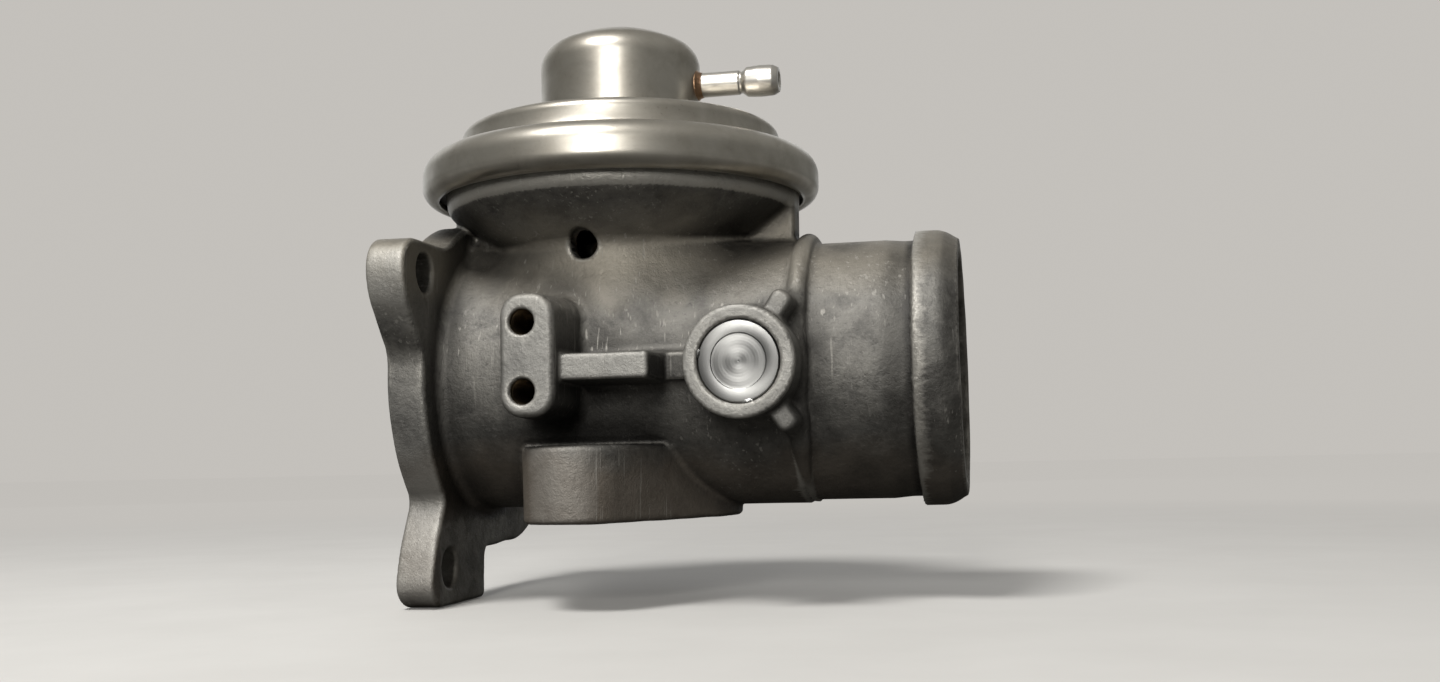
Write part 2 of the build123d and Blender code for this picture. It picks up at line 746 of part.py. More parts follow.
# ================================================================ pressed cover of the capsule
with BuildPart() as vacuum_cover:
    with BuildSketch(valve_section) as cover_section:
        with BuildLine():
            crimp = Line(
                (skirt_r - crimp_reach, skirt_bottom_z), (skirt_r - crimp_r, skirt_bottom_z)
            )
            crimp_bend = JernArc(crimp @ 1, crimp % 1, crimp_r, 90)
            skirt = Line(crimp_bend @ 1, (skirt_r, skirt_top_z))
            skirt_bend = JernArc(skirt @ 1, skirt % 1, skirt_corner_r, 90 - rim_slope)
            slope_run = (skirt_bend @ 1).X - shoulder_step_r
            slope_end = (shoulder_step_r, (skirt_bend @ 1).Y + slope_run * tan(radians(rim_slope)))
            Line(skirt_bend @ 1, slope_end)
            Line(slope_end, (shoulder_r, shoulder_bend_z))
            shoulder_bend = JernArc(
                (shoulder_r, shoulder_bend_z), (0, 1), shoulder_bend_r, 90 - shoulder_slope
            )
            Line(shoulder_bend @ 1, (cap_r + cap_foot_r, shoulder_top_z))
            foot = RadiusArc(
                (cap_r + cap_foot_r, shoulder_top_z),
                (cap_r, shoulder_top_z + cap_foot_r),
                -cap_foot_r,
            )
            cap_wall = Line(foot @ 1, (cap_r, cap_wall_top_z))
            cap_bend = JernArc(cap_wall @ 1, cap_wall % 1, cap_corner_r, 90 - cap_dome_angle)
            dome_r = (cap_bend @ 1).X / sin(radians(cap_dome_angle))
            dome = JernArc(cap_bend @ 1, cap_bend % 1, dome_r, cap_dome_angle)
            offset(amount=cover_sheet, side=Side.LEFT)
        make_face()
    revolve(axis=stem_line)
    with BuildSketch(Plane.YZ.offset(axis_x)):
        with Locations((0, nipple_z)):
            Circle(nipple_tube_r + fit_gap)
    extrude(amount=cap_r + nipple_hole_run, mode=Mode.SUBTRACT)
vacuum_cover.part.label = "vacuum_cover"
export_step(vacuum_cover.part, "parts/vacuum_cover.step")

# ================================================================ vacuum nipple and its braze
nipple_plane = Plane((axis_x, 0, nipple_z), x_dir=(1, 0, 0), z_dir=(0, -1, 0))
nipple_line = Axis((axis_x, 0, nipple_z), (1, 0, 0))
with BuildPart() as vacuum_nipple:
    nipple_start = cap_r - cover_sheet - nipple_inside
    bead_x = nipple_bead_offset_x
    end_x = nipple_end_offset_x
    with BuildSketch(nipple_plane):
        with BuildLine():
            Polyline(
                (nipple_start, nipple_bore_r),
                (nipple_start, nipple_tube_r),
                (bead_x - nipple_chamfer, nipple_tube_r),
                (bead_x - nipple_chamfer / 2, nipple_tube_r - nipple_groove),
                (bead_x, nipple_tube_r - nipple_groove),
                (bead_x + nipple_chamfer, nipple_bead_r),
                (end_x - 2 * nipple_chamfer, nipple_bead_r),
                (end_x, nipple_bead_r - nipple_chamfer),
                (end_x, nipple_bore_r + nipple_chamfer / 2),
                (end_x - nipple_chamfer / 2, nipple_bore_r),
                close=True,
            )
        make_face()
    revolve(axis=nipple_line)
vacuum_nipple.part.label = "vacuum_nipple"
export_step(vacuum_nipple.part, "parts/vacuum_nipple.step")

with BuildPart() as nipple_braze:
    braze_inner_r = nipple_tube_r + fit_gap
    with BuildSketch(nipple_plane):
        with BuildLine():
            Line((cap_r - cover_sheet / 2, braze_inner_r), (cap_r + braze_r, braze_inner_r))
            RadiusArc(
                (cap_r + braze_r, braze_inner_r),
                (cap_r, braze_inner_r + braze_r),
                -braze_r * 1.6,
            )
            Polyline(
                (cap_r, braze_inner_r + braze_r),
                (cap_r - cover_sheet / 2, braze_inner_r + braze_r),
                (cap_r - cover_sheet / 2, braze_inner_r),
            )
        make_face()
    revolve(axis=nipple_line)
    split(bisect_by=Plane.XY.offset(shoulder_top_z), keep=Keep.TOP)
    with BuildSketch(valve_axis.offset(shoulder_top_z)):
        Circle(cap_r)
    extrude(amount=cap_wall_top_z - shoulder_top_z, mode=Mode.SUBTRACT)
    add(vacuum_cover.part, mode=Mode.SUBTRACT)
nipple_braze.part.label = "nipple_braze"
export_step(nipple_braze.part, "parts/nipple_braze.step")

# ================================================================ turned plug of the shaft bore
plug_face_y = boss_face_y + plug_step
plug_plane = Plane((boss_x, 0, 0), x_dir=(1, 0, 0), z_dir=(0, -1, 0)).offset(-plug_face_y)
with BuildPart() as shaft_bore_plug:
    with BuildSketch(plug_plane):
        Circle(plug_seat_r - plug_gap)
    extrude(amount=plug_step - plug_seat_depth)
    chamfer(shaft_bore_plug.faces().sort_by(Axis.Y)[0].edges(), length=plug_step)
    with BuildSketch(plug_plane):
        Circle(plug_recess_r)
    extrude(amount=-plug_recess_depth, mode=Mode.SUBTRACT)
shaft_bore_plug.part.label = "shaft_bore_plug"
export_step(shaft_bore_plug.part, "parts/shaft_bore_plug.step")
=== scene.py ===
# %% [markdown]
# Vacuum-operated exhaust gas recirculation valve, dressed in Blender.
#
# The metal frame of this lesson is a finished CAD model: every piece is already at its real size
# and place. Here each piece gets the surface that the workshop gave it: a sand-coloured casting,
# a pressed steel capsule, a turned plug, a brazed vacuum nipple. We work in millimetres, because
# that is how such a part is drawn, and turn them into metres only when a mesh is written.

import math

import bmesh
import bpy
import numpy as np
from mathutils import Matrix


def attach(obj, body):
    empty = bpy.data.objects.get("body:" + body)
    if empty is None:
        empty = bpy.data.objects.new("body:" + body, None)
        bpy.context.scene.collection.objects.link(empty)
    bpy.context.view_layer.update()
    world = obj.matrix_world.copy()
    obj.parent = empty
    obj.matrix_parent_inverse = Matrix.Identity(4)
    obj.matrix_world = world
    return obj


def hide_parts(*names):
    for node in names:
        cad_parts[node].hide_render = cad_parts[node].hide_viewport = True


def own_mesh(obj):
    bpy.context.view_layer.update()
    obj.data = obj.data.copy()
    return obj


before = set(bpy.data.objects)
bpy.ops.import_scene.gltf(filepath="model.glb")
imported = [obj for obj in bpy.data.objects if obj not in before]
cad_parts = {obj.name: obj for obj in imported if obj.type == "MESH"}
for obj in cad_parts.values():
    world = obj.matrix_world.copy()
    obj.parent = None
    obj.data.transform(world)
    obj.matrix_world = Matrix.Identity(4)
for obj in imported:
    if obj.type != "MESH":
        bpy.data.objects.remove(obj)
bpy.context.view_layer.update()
MM = 0.001

# %% [markdown]
# The sizes that more than one piece needs. They are the same ones that the CAD model was drawn
# with, so a dressed surface lies exactly where the plain one was.

# %% Shared sizes, in millimetres
DUCT_LENGTH, DUCT_R, BORE_R, SPIGOT_R = 119.0, 29.2, 25.5, 28.5
BEAD_X, BEAD_R = 109.6, 30.1
FLANGE_R, FLANGE_T = 36.7, 8.5
FLANGE_HOLES = ((-35.7, 21.6), (-23.1, -41.2), (38.0, -12.0))
VALVE_X = 42.0
BOSS_X, BOSS_R, PLUG_SEAT_R = 76.6, 11.4, 8.2
INLET_Z, INLET_TOP_Z = -31.6, -15.7
PIPE_BOLT_X, PIPE_BOLT_Y, PIPE_BOLT_R = 2.0, 30.94, 3.4
BRACKET_X, BRACKET_Z, BRACKET_HALF, BRACKET_R = 33.4, 2.15, 7.0, 2.65
NECK_R, BOWL_R, RIM_R = 26.2, 40.2, 44.1
SEAT_TOP_Z = -26.0
RIM_BOTTOM_Z, RIM_TOP_Z = 41.6, 46.8
NIPPLE_Z = 67.3
SHEET = 1.2
FLOOR_Z = -49.5
print("duct", DUCT_LENGTH, "mm long, valve axis at X =", VALVE_X)

# %% [markdown]
# Every piece ends the same way: points and faces go into a mesh, the mesh becomes an object, the
# object gets its material, rides on a body and hides the CAD node it stands for. Most materials
# here have the name of their finish, to which Blender adds .001 because the frame uses that name
# already. One helper does all of that, so the later cells can be about shapes only.


def finish_piece(name, points_mm, faces, material, body="housing", node=None):
    """points_mm is an (n, 3) array, faces an (m, 4) or (m, 3) array of point numbers."""
    mesh = bpy.data.meshes.new(name)
    faces = np.asarray(faces, dtype=np.int32)
    sides = faces.shape[1]
    mesh.vertices.add(len(points_mm))
    mesh.vertices.foreach_set("co", (np.asarray(points_mm, dtype=np.float32) * MM).ravel())
    mesh.loops.add(faces.size)
    mesh.loops.foreach_set("vertex_index", faces.ravel())
    mesh.polygons.add(len(faces))
    mesh.polygons.foreach_set("loop_start", np.arange(len(faces), dtype=np.int32) * sides)
    mesh.polygons.foreach_set("loop_total", np.full(len(faces), sides, dtype=np.int32))
    mesh.polygons.foreach_set("use_smooth", np.ones(len(faces), dtype=bool))
    mesh.update(calc_edges=True)
    mesh.validate()
    piece = bpy.data.objects.new(name, mesh)
    bpy.context.scene.collection.objects.link(piece)
    mesh.materials.append(material)
    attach(piece, body)
    if node is not None:
        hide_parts(node)
    return piece


def grid_faces(rows, count):
    """Four-sided faces of rows x count points, numbered row by row; both directions wrap round."""
    i, j = np.meshgrid(np.arange(rows), np.arange(count), indexing="ij")
    i2, j2 = (i + 1) % rows, (j + 1) % count
    faces = np.stack([i * count + j, i * count + j2, i2 * count + j2, i2 * count + j], -1)
    return faces.reshape(-1, 4)


def point_values(piece, name, values):
    """Stores one number per point on the piece, for its material to read as an attribute."""
    layer = piece.data.attributes.new(name, "FLOAT", "POINT")
    layer.data.foreach_set("value", np.asarray(values, dtype=np.float32))

# %% [markdown]
# Most small pieces of a valve are turned on a lathe or pressed to a round form. Both are one
# closed profile carried once round an axis. A real edge is never knife sharp, so each corner of
# the profile is first rolled over by a small arc: that thin bright line along an edge is what
# makes metal look like metal.


# %% Helpers: a rounded profile, and the surface it sweeps
def rounded(corners, radii, steps=4):
    """Closed profile with its corners rolled over.

    At a corner p with unit directions u to the point before and v to the point after, the arc
    touches both sides at t = r / tan(half the angle between them), and its points are those of
    the circle that is tangent there. The corner is cut short where a side is too small for it.
    """
    corners = np.asarray(corners, dtype=float)
    radii = np.broadcast_to(np.asarray(radii, dtype=float), (len(corners),))
    before = np.roll(corners, 1, axis=0) - corners
    after = np.roll(corners, -1, axis=0) - corners
    len_before = np.linalg.norm(before, axis=1)
    len_after = np.linalg.norm(after, axis=1)
    u = before / len_before[:, None]
    v = after / len_after[:, None]
    half = np.arccos(np.clip((u * v).sum(1), -0.99999, 0.99999)) / 2
    t = np.minimum(radii / np.tan(half), 0.48 * np.minimum(len_before, len_after))
    r = t * np.tan(half)
    bisector = u + v
    bisector /= np.linalg.norm(bisector, axis=1)[:, None] + 1e-12
    centre = corners + bisector * (r / np.sin(half))[:, None]
    start = corners + u * t[:, None] - centre
    end = corners + v * t[:, None] - centre
    share = np.linspace(0, 1, steps + 1)[None, :, None]
    turn = (np.pi - 2 * half)[:, None, None]
    safe = np.maximum(np.sin(turn), 1e-6)
    arc = (np.sin((1 - share) * turn) * start[:, None] + np.sin(share * turn) * end[:, None]) / safe
    return (centre[:, None] + arc).reshape(-1, 2)


def spun(profile, rows, centre, axis):
    """Closed surface of revolution: profile is (along, radius) and it turns through rows steps.

    x, y, z = centre + along * axis + radius * (cos a * side + sin a * up)
    Points on the axis itself fall together, and close_and_face_out then merges them.
    """
    axis = np.asarray(axis, dtype=float)
    helper = np.array([0.0, 0.0, 1.0]) if abs(axis[2]) < 0.9 else np.array([1.0, 0.0, 0.0])
    side = np.cross(helper, axis)
    side /= np.linalg.norm(side)
    up = np.cross(axis, side)
    a = np.linspace(0, 2 * np.pi, rows, endpoint=False)
    round_ = np.cos(a)[:, None] * side + np.sin(a)[:, None] * up
    along = profile[:, 0][None, :, None] * axis
    points = np.asarray(centre) + along + profile[:, 1][None, :, None] * round_[:, None, :]
    return points.reshape(-1, 3), grid_faces(rows, len(profile))


def close_and_face_out(piece, gap_mm=0.0005):
    """Merges doubled points, drops the faces that shrank to nothing, turns the rest outwards."""
    work = bmesh.new()
    work.from_mesh(piece.data)
    bmesh.ops.remove_doubles(work, verts=work.verts, dist=gap_mm * MM)
    bmesh.ops.dissolve_degenerate(work, edges=work.edges, dist=gap_mm * MM)
    bmesh.ops.recalc_face_normals(work, faces=work.faces)
    work.to_mesh(piece.data)
    work.free()
    piece.data.polygons.foreach_set("use_smooth", np.ones(len(piece.data.polygons), dtype=bool))
    piece.data.update()


def turned(name, corners, radii, material, body="housing", node=None, rows=96, steps=4,
           centre=(VALVE_X, 0, 0), axis=(0, 0, 1), finish=None):
    """A lathe part about an axis: corners are (along the axis, radius), in millimetres."""
    points, faces = spun(rounded(corners, radii, steps), rows, centre, axis)
    piece = finish_piece(name, points, faces, material, body, node)
    close_and_face_out(piece)
    print(name, len(piece.data.polygons), "faces")
    return piece

# %% [markdown]
# Materials come next, because each piece is given one when it is made. Everything is procedural:
# noises and waves on the object's own coordinates, in metres, so a scale of 1000 means patterns
# one millimetre wide. A few helpers keep the node code readable.


# %% Helpers: short words for shader nodes
def new_material(name, metallic, **sockets):
    """A material with its Principled shader; constant values go straight onto its sockets."""
    material = bpy.data.materials.new(name)
    material.use_nodes = True
    tree = material.node_tree
    shader = tree.nodes["Principled BSDF"]
    shader.inputs["Metallic"].default_value = metallic
    for socket, value in sockets.items():
        shader.inputs[socket.replace("_", " ")].default_value = value
    return material, tree, shader


def add(tree, kind, inputs, **settings):
    """Adds a node, sets its options, then links or sets each input by name or number."""
    node = tree.nodes.new("ShaderNode" + kind)
    for setting, value in settings.items():
        setattr(node, setting, value)
    for socket, value in inputs.items():
        if isinstance(value, bpy.types.NodeSocket):
            tree.links.new(value, node.inputs[socket])
        else:
            node.inputs[socket].default_value = value
    return node


def place(tree, stretch=(1, 1, 1), turn=(0, 0, 0), shift=(0, 0, 0)):
    """Object coordinates, shifted, turned (degrees) and stretched by a Mapping node."""
    where = add(tree, "TexCoord", {}).outputs["Object"]
    turned_by = [math.radians(angle) for angle in turn]
    values = {"Vector": where, "Location": shift, "Rotation": turned_by, "Scale": stretch}
    return add(tree, "Mapping", values).outputs[0]


def noise(tree, where, size_mm, detail=3.0, rough=0.55, bend=0.0):
    """Cloudy noise whose blobs are about size_mm wide."""
    values = {"Vector": where, "Scale": 1000 / size_mm}
    values.update({"Detail": detail, "Roughness": rough, "Distortion": bend})
    return add(tree, "TexNoise", values).outputs[0]


def levels(tree, value, low, high, out_low=0.0, out_high=1.0):
    """Stretches the range low..high to out_low..out_high and clips the rest."""
    values = {0: value, 1: low, 2: high, 3: out_low, 4: out_high}
    return add(tree, "MapRange", values, clamp=True).outputs[0]


def maths(tree, how, a, b=0.0):
    """One arithmetic step, such as ADD, MAXIMUM or POWER."""
    return add(tree, "Math", {0: a, 1: b}, operation=how).outputs[0]


def blend(tree, share, a, b):
    """Mixes two colours by share; each may be a colour (r, g, b) or another node's output."""
    full = [(*c, 1.0) if isinstance(c, tuple) else c for c in (a, b)]
    return add(tree, "Mix", {0: share, 6: full[0], 7: full[1]}, data_type="RGBA").outputs[2]


def times(tree, a, b):
    """Product of two values."""
    return maths(tree, "MULTIPLY", a, b)


def layers(tree, colour, *coats):
    """Lays one tint after another over a colour; each coat is (share, tint)."""
    for share, tint in coats:
        colour = blend(tree, share, colour, tint)
    return colour


def relief(tree, *bumps):
    """Bumps on bumps: each is a height of 0..1 with its depth in mm on the real surface."""
    values = {"Strength": 1.0}
    for height, depth_mm in bumps:
        values.update({"Height": height, "Distance": depth_mm * MM})
        values["Normal"] = add(tree, "Bump", values).outputs[0]
    return values["Normal"]


def wire(tree, shader, colour, rough, normal):
    """Plugs the three patterns of a material into its Principled shader."""
    for socket, value in (("Base Color", colour), ("Roughness", rough), ("Normal", normal)):
        tree.links.new(value, shader.inputs[socket])


def stored(tree, name):
    """A number kept on the points of the mesh."""
    return add(tree, "Attribute", {}, attribute_name=name).outputs["Fac"]


# %% [markdown]
# Sand-cast aluminium that has been on an engine for years is not silver. The skin is a dull
# brown-grey oxide with a fine grain from the mould, rusty towards the exhaust pipe, and crossed by
# thin scratches from cleaning. Round the neck it is warm where heat has coloured it, and this tint
# is pale enough to be painted light as well. Painted shade darkens the lower part, the faces that
# look down, the tops under the capsule, and the corners and hollows, where some dirt stays too;
# dark spots hold painted shadows and oil stains. Knocked edges are pale, with painted highlights
# along the bowl lip and the bead's ridge, faces that look forward get painted light, and cut metal
# shows through where a tool has been. First come the shares of these layers, then the layers
# themselves, each laid over the last.

# %% Cast aluminium: where each layer shows
CAST_ALUMINIUM, tree, shader = new_material("cast_aluminium", 0.50, IOR=1.45)
where = place(tree)
wide = noise(tree, where, 30, 3, 0.6, 0.4)
middle = noise(tree, place(tree, shift=(0.3, 0.1, 0.2)), 7, 5, 0.65, 0.3)
fine = noise(tree, where, 1.1, 5, 0.68)
grain = noise(tree, where, 0.42, 2, 0.6)
height = add(tree, "SeparateXYZ", {0: where}).outputs[2]
wander = maths(tree, "ADD", height, times(tree, wide, 0.02))
# a band round the neck: heat tint, made pale enough to be painted light where the neck is lit
heat_tint_and_light = times(tree, levels(tree, wander, 0.024, 0.034), levels(tree, wander, 0.046, 0.040))
# painted shade on the faces that look down (under), together with the dark spots of painted shadow
# and oil stain
oil_and_shade = maths(tree, "MAXIMUM", times(tree, stored(tree, "under"), 0.62), stored(tree, "stains_and_shadows"))
oil_and_shade = times(tree, oil_and_shade, levels(tree, middle, 0.2, 0.6, 1.0, 0.65))
# painted shade in corners and hollows, with some dirt: the stored crevice and hollow numbers darken
# the colour
corner_shade_and_dirt = maths(tree, "MAXIMUM", stored(tree, "crevice"), times(tree, stored(tree, "hollow"), 0.75))
corner_shade_and_dirt = times(tree, corner_shade_and_dirt, levels(tree, middle, 0.25, 0.6, 0.55, 1.0))
lines = []
for lean, size, stretch in ((35, 0.9, 26), (-28, 1.1, 30), (62, 1.2, 22)):
    lay = place(tree, stretch=(1, 1, 1 / stretch), turn=(lean * 0.3, lean, 0))
    lines.append(levels(tree, noise(tree, lay, size, 2, 0.5), 0.67, 0.72))
scratch = maths(tree, "MAXIMUM", maths(tree, "MAXIMUM", lines[0], lines[1]), lines[2])
scratch = times(tree, scratch, levels(tree, wide, 0.45, 0.6))
rub = times(tree, maths(tree, "ADD", middle, fine), 0.45)
# pale worn edges, with the painted highlights along the bowl lip and the bead's ridge
wear_and_highlight = levels(tree, maths(tree, "ADD", stored(tree, "edges_and_highlights"), rub), 0.62, 1.25)
# painted light on the faces that look forward
lit_front_share = times(tree, stored(tree, "lit_front"), levels(tree, middle, 0.3, 0.6, 0.40, 0.66))
cut_share = levels(tree, middle, 0.4, 0.65)
print("scratches lean", len(lines), "ways")

# %% Cast aluminium: the layers
skin_share = levels(tree, wide, 0.38, 0.62)
colour = layers(
    tree,
    blend(tree, skin_share, (0.112, 0.109, 0.101), (0.182, 0.175, 0.160)),
    (levels(tree, middle, 0.46, 0.72, 0, 0.5), (0.265, 0.256, 0.232)),
    (levels(tree, middle, 0.47, 0.32, 0, 0.65), (0.058, 0.056, 0.053)),
    (levels(tree, fine, 0.54, 0.72, 0, 0.40), (0.320, 0.310, 0.288)),
    (levels(tree, fine, 0.45, 0.31, 0, 0.55), (0.034, 0.032, 0.030)),
    # darker towards the bottom: painted shade on the lower part of the casting
    (levels(tree, wander, 0.012, -0.02, 0, 0.40), (0.060, 0.058, 0.056)),
    # heat tint on the neck, pale enough to be painted light
    (times(tree, heat_tint_and_light, 0.60), (0.400, 0.365, 0.300)),
    (levels(tree, wander, -0.006, -0.011, 0, 0.45), (0.210, 0.168, 0.126)),
    # painted shade on the undersides and painted shadows, with oil stains
    (times(tree, oil_and_shade, 0.80), (0.030, 0.028, 0.025)),
    # painted shade in corners and hollows, with some dirt
    (levels(tree, corner_shade_and_dirt, 0.12, 0.80, 0, 0.90), (0.011, 0.010, 0.009)),
    (times(tree, scratch, 0.60), (0.380, 0.365, 0.335)),
    # pale worn edges and painted highlights
    (times(tree, wear_and_highlight, 0.70), (0.400, 0.385, 0.350)),
    # painted light on the faces that look forward
    (lit_front_share, (0.390, 0.383, 0.362)),
    (stored(tree, "machined"), blend(tree, cut_share, (0.150, 0.140, 0.122), (0.320, 0.305, 0.275))),
)
rough = maths(tree, "SUBTRACT", levels(tree, fine, 0.3, 0.7, 0.48, 0.62), times(tree, wear_and_highlight, 0.12))
unscratched = maths(tree, "SUBTRACT", 1.0, scratch)
bumps = relief(tree, (middle, 0.22), (fine, 0.16), (grain, 0.05), (unscratched, 0.03))
wire(tree, shader, colour, rough, bumps)
print("cast aluminium:", len(tree.nodes), "nodes")

# %% [markdown]
# Turned and pressed pieces carry marks that run round their own axis: the feed lines of a lathe
# tool, the streaks of a pressing. Noise that is squeezed round the axis and left fine along it
# gives exactly that. The trick is to feed it the direction from the axis, shrunk to a small
# circle, and the distance along the profile, so no seam appears anywhere.


# %% Helpers: coordinates that run round an axis
ABOUT_VALVE = {"shift": (-VALVE_X * MM, 0, 0)}
ABOUT_BOSS = {"turn": (90, 0, 0), "shift": (-BOSS_X * MM, 0, 0)}
ABOUT_NIPPLE = {"turn": (0, -90, 0), "shift": (NIPPLE_Z * MM, 0, 0)}


def from_axis(tree, about):
    """The coordinates x, y, z about an axis, the vector (x, y, 0) and its length."""
    split = add(tree, "SeparateXYZ", {0: place(tree, **about)}).outputs
    flat = add(tree, "CombineXYZ", {0: split[0], 1: split[1]}).outputs[0]
    radius = add(tree, "VectorMath", {0: flat}, operation="LENGTH").outputs["Value"]
    return split, flat, radius


def round_the_axis(tree, about, squeeze_mm):
    """(squeeze * cos a, squeeze * sin a, radius + height): rings on flats, hoops on walls."""
    split, flat, radius = from_axis(tree, about)
    unit = add(tree, "VectorMath", {0: flat}, operation="NORMALIZE").outputs[0]
    values = {0: unit, "Scale": squeeze_mm * MM}
    circle = add(tree, "VectorMath", values, operation="SCALE").outputs[0]
    lift = add(tree, "CombineXYZ", {2: maths(tree, "ADD", radius, split[2])}).outputs[0]
    return add(tree, "VectorMath", {0: circle, 1: lift}, operation="ADD").outputs[0]


# %% [markdown]
# Bare metals differ in colour and in how far a highlight spreads. The pressed capsule is
# satin-finished steel with a straw tint, the nipple is plated and smoother, the plug is freshly
# turned aluminium. One recipe serves them all: a base colour with two tints, streaks round the
# axis, a cloudy change of gloss, stains, and the relief of the tool marks.


# %% Bare metals
def bare_metal(name, light, dark, gloss, about, streak_mm=0.35, depth_mm=0.006, stain=0.4,
               squeeze_mm=5.0):
    """Metal whose colour runs between two tints; gloss is (least, greatest) roughness.

    streak_mm is the width of the marks and depth_mm their depth. The marks become long and even
    when squeeze_mm is small, because that is the radius at which the noise goes once round.
    """
    material, tree, shader = new_material(name, 1.0)
    ringed = round_the_axis(tree, about, squeeze_mm)
    streaks = noise(tree, ringed, streak_mm, 3, 0.65)
    broad = noise(tree, ringed, 3.0, 3, 0.6)
    cloud = noise(tree, place(tree), 9, 4, 0.6, 0.5)
    specks = noise(tree, place(tree), 0.8, 3, 0.6)
    mark = times(tree, levels(tree, specks, 0.60, 0.72), levels(tree, cloud, 0.5, 0.65))
    colour = layers(
        tree,
        blend(tree, levels(tree, cloud, 0.35, 0.68), light, dark),
        (levels(tree, streaks, 0.58, 0.75, 0, 0.35), dark),
        (times(tree, mark, stain), tuple(0.3 * c for c in dark)),
    )
    both = maths(tree, "ADD", times(tree, cloud, 0.6), times(tree, broad, 0.4))
    rough = levels(tree, both, 0.35, 0.65, *gloss)
    wire(tree, shader, colour, rough, relief(tree, (streaks, depth_mm), (specks, depth_mm * 0.5)))
    return material


SATIN_STEEL = bare_metal(
    "satin_steel", (0.50, 0.475, 0.425), (0.37, 0.345, 0.30), (0.32, 0.41), ABOUT_VALVE,
    streak_mm=0.3, depth_mm=0.010,
)
PLATED_STEEL = bare_metal(
    "plated_steel", (0.66, 0.64, 0.60), (0.56, 0.54, 0.50), (0.31, 0.37), ABOUT_NIPPLE,
    streak_mm=0.9, depth_mm=0.0005, stain=0.1, squeeze_mm=0.4,
)
TURNED_ALUMINIUM = bare_metal(
    "turned_aluminium", (0.50, 0.50, 0.49), (0.42, 0.42, 0.41), (0.34, 0.40), ABOUT_BOSS,
    streak_mm=0.45, depth_mm=0.004, stain=0.15, squeeze_mm=0.5,
)
STAINLESS_STEEL = bare_metal(
    "stainless_steel", (0.42, 0.40, 0.37), (0.26, 0.235, 0.20), (0.28, 0.42), ABOUT_VALVE, 0.3
)
PRESSED_STEEL = bare_metal(
    "pressed_steel", (0.50, 0.48, 0.44), (0.36, 0.34, 0.30), (0.24, 0.36), ABOUT_VALVE, 0.5
)
SPRING_STEEL = bare_metal(
    "spring_steel", (0.34, 0.33, 0.32), (0.22, 0.21, 0.20), (0.22, 0.34), ABOUT_VALVE, 0.25
)
SINTERED_BRONZE = bare_metal(
    "sintered_bronze", (0.48, 0.33, 0.16), (0.30, 0.20, 0.10), (0.35, 0.5), ABOUT_VALVE, 0.2
)
COPPER_BRAZE = bare_metal(
    "copper_braze", (0.46, 0.31, 0.19), (0.20, 0.115, 0.070), (0.24, 0.42), ABOUT_NIPPLE,
    streak_mm=0.8, depth_mm=0.03, stain=0.8, squeeze_mm=2.0,
)
TAPPED_METAL = bare_metal(
    "tapped_metal", (0.20, 0.16, 0.11), (0.07, 0.055, 0.040), (0.3, 0.45), ABOUT_BOSS, 0.3
)
print("bare metals from", SATIN_STEEL.name, "to", TAPPED_METAL.name)

# %% [markdown]
# A face that was turned on a lathe shows a bright double fan, since its fine grooves throw the
# light sideways. The grooves are far too fine for a mesh, so the fan is laid into the colour: it
# is bright along one line through the centre, and dark across it.

# %% The fan of a turned face
LEAN, SHARPNESS, SOFT_CENTRE_MM = 0.25, 2.5, 0.3
tree = TURNED_ALUMINIUM.node_tree
shader = tree.nodes["Principled BSDF"]
plain = shader.inputs["Base Color"].links[0].from_socket
split, flat, radius = from_axis(tree, ABOUT_BOSS)
leaning = maths(tree, "ADD", split[1], times(tree, split[0], LEAN))
fan = maths(tree, "ABSOLUTE", leaning)
fan = maths(tree, "DIVIDE", fan, maths(tree, "ADD", radius, SOFT_CENTRE_MM * MM))
fan = maths(tree, "POWER", fan, SHARPNESS)
colour = blend(tree, levels(tree, fan, 0, 1, 0.86, 0.30), plain, (0.05, 0.05, 0.05))
tree.links.new(colour, shader.inputs["Base Color"])
print("the fan's sharpness is", SHARPNESS)

# %% [markdown]
# The O-ring and the stem seal are moulded rubber, matt and faintly dusty. The diaphragm is cloth
# proofed with rubber: the fabric shows through its skin as a fine square weave. Soot covers what
# the exhaust gas touches: the seat, the disc and the heat shield are nearly black, with bare
# steel in a few places.

# %% Rubber, proofed cloth and sooty steel
BLACK_RUBBER, tree, shader = new_material("black_rubber", 0.0, IOR=1.5)
cloud = noise(tree, place(tree), 3, 4, 0.6)
dust = noise(tree, place(tree), 0.5, 3, 0.6)
colour = blend(tree, levels(tree, cloud, 0.4, 0.7), (0.018, 0.018, 0.018), (0.035, 0.034, 0.032))
colour = blend(tree, levels(tree, dust, 0.55, 0.75, 0, 0.5), colour, (0.075, 0.072, 0.066))
rough = levels(tree, cloud, 0.3, 0.7, 0.45, 0.65)
wire(tree, shader, colour, rough, relief(tree, (dust, 0.02)))

DIAPHRAGM_CLOTH, tree, shader = new_material("diaphragm_cloth", 0.0, IOR=1.48)
where = place(tree)
warp, weft = (
    add(tree, "TexWave", {"Vector": where, "Scale": 380.0, "Distortion": 0.6}, bands_direction=way)
    for way in "XY"
)
weave = maths(tree, "MAXIMUM", warp.outputs["Fac"], weft.outputs["Fac"])
colour = blend(tree, weave, (0.020, 0.018, 0.016), (0.052, 0.046, 0.038))
dusty_share = levels(tree, noise(tree, where, 6, 3), 0.45, 0.7)
colour = blend(tree, dusty_share, colour, (0.070, 0.062, 0.050))
rough = levels(tree, weave, 0, 1, 0.7, 0.5)
wire(tree, shader, colour, rough, relief(tree, (weave, 0.05)))

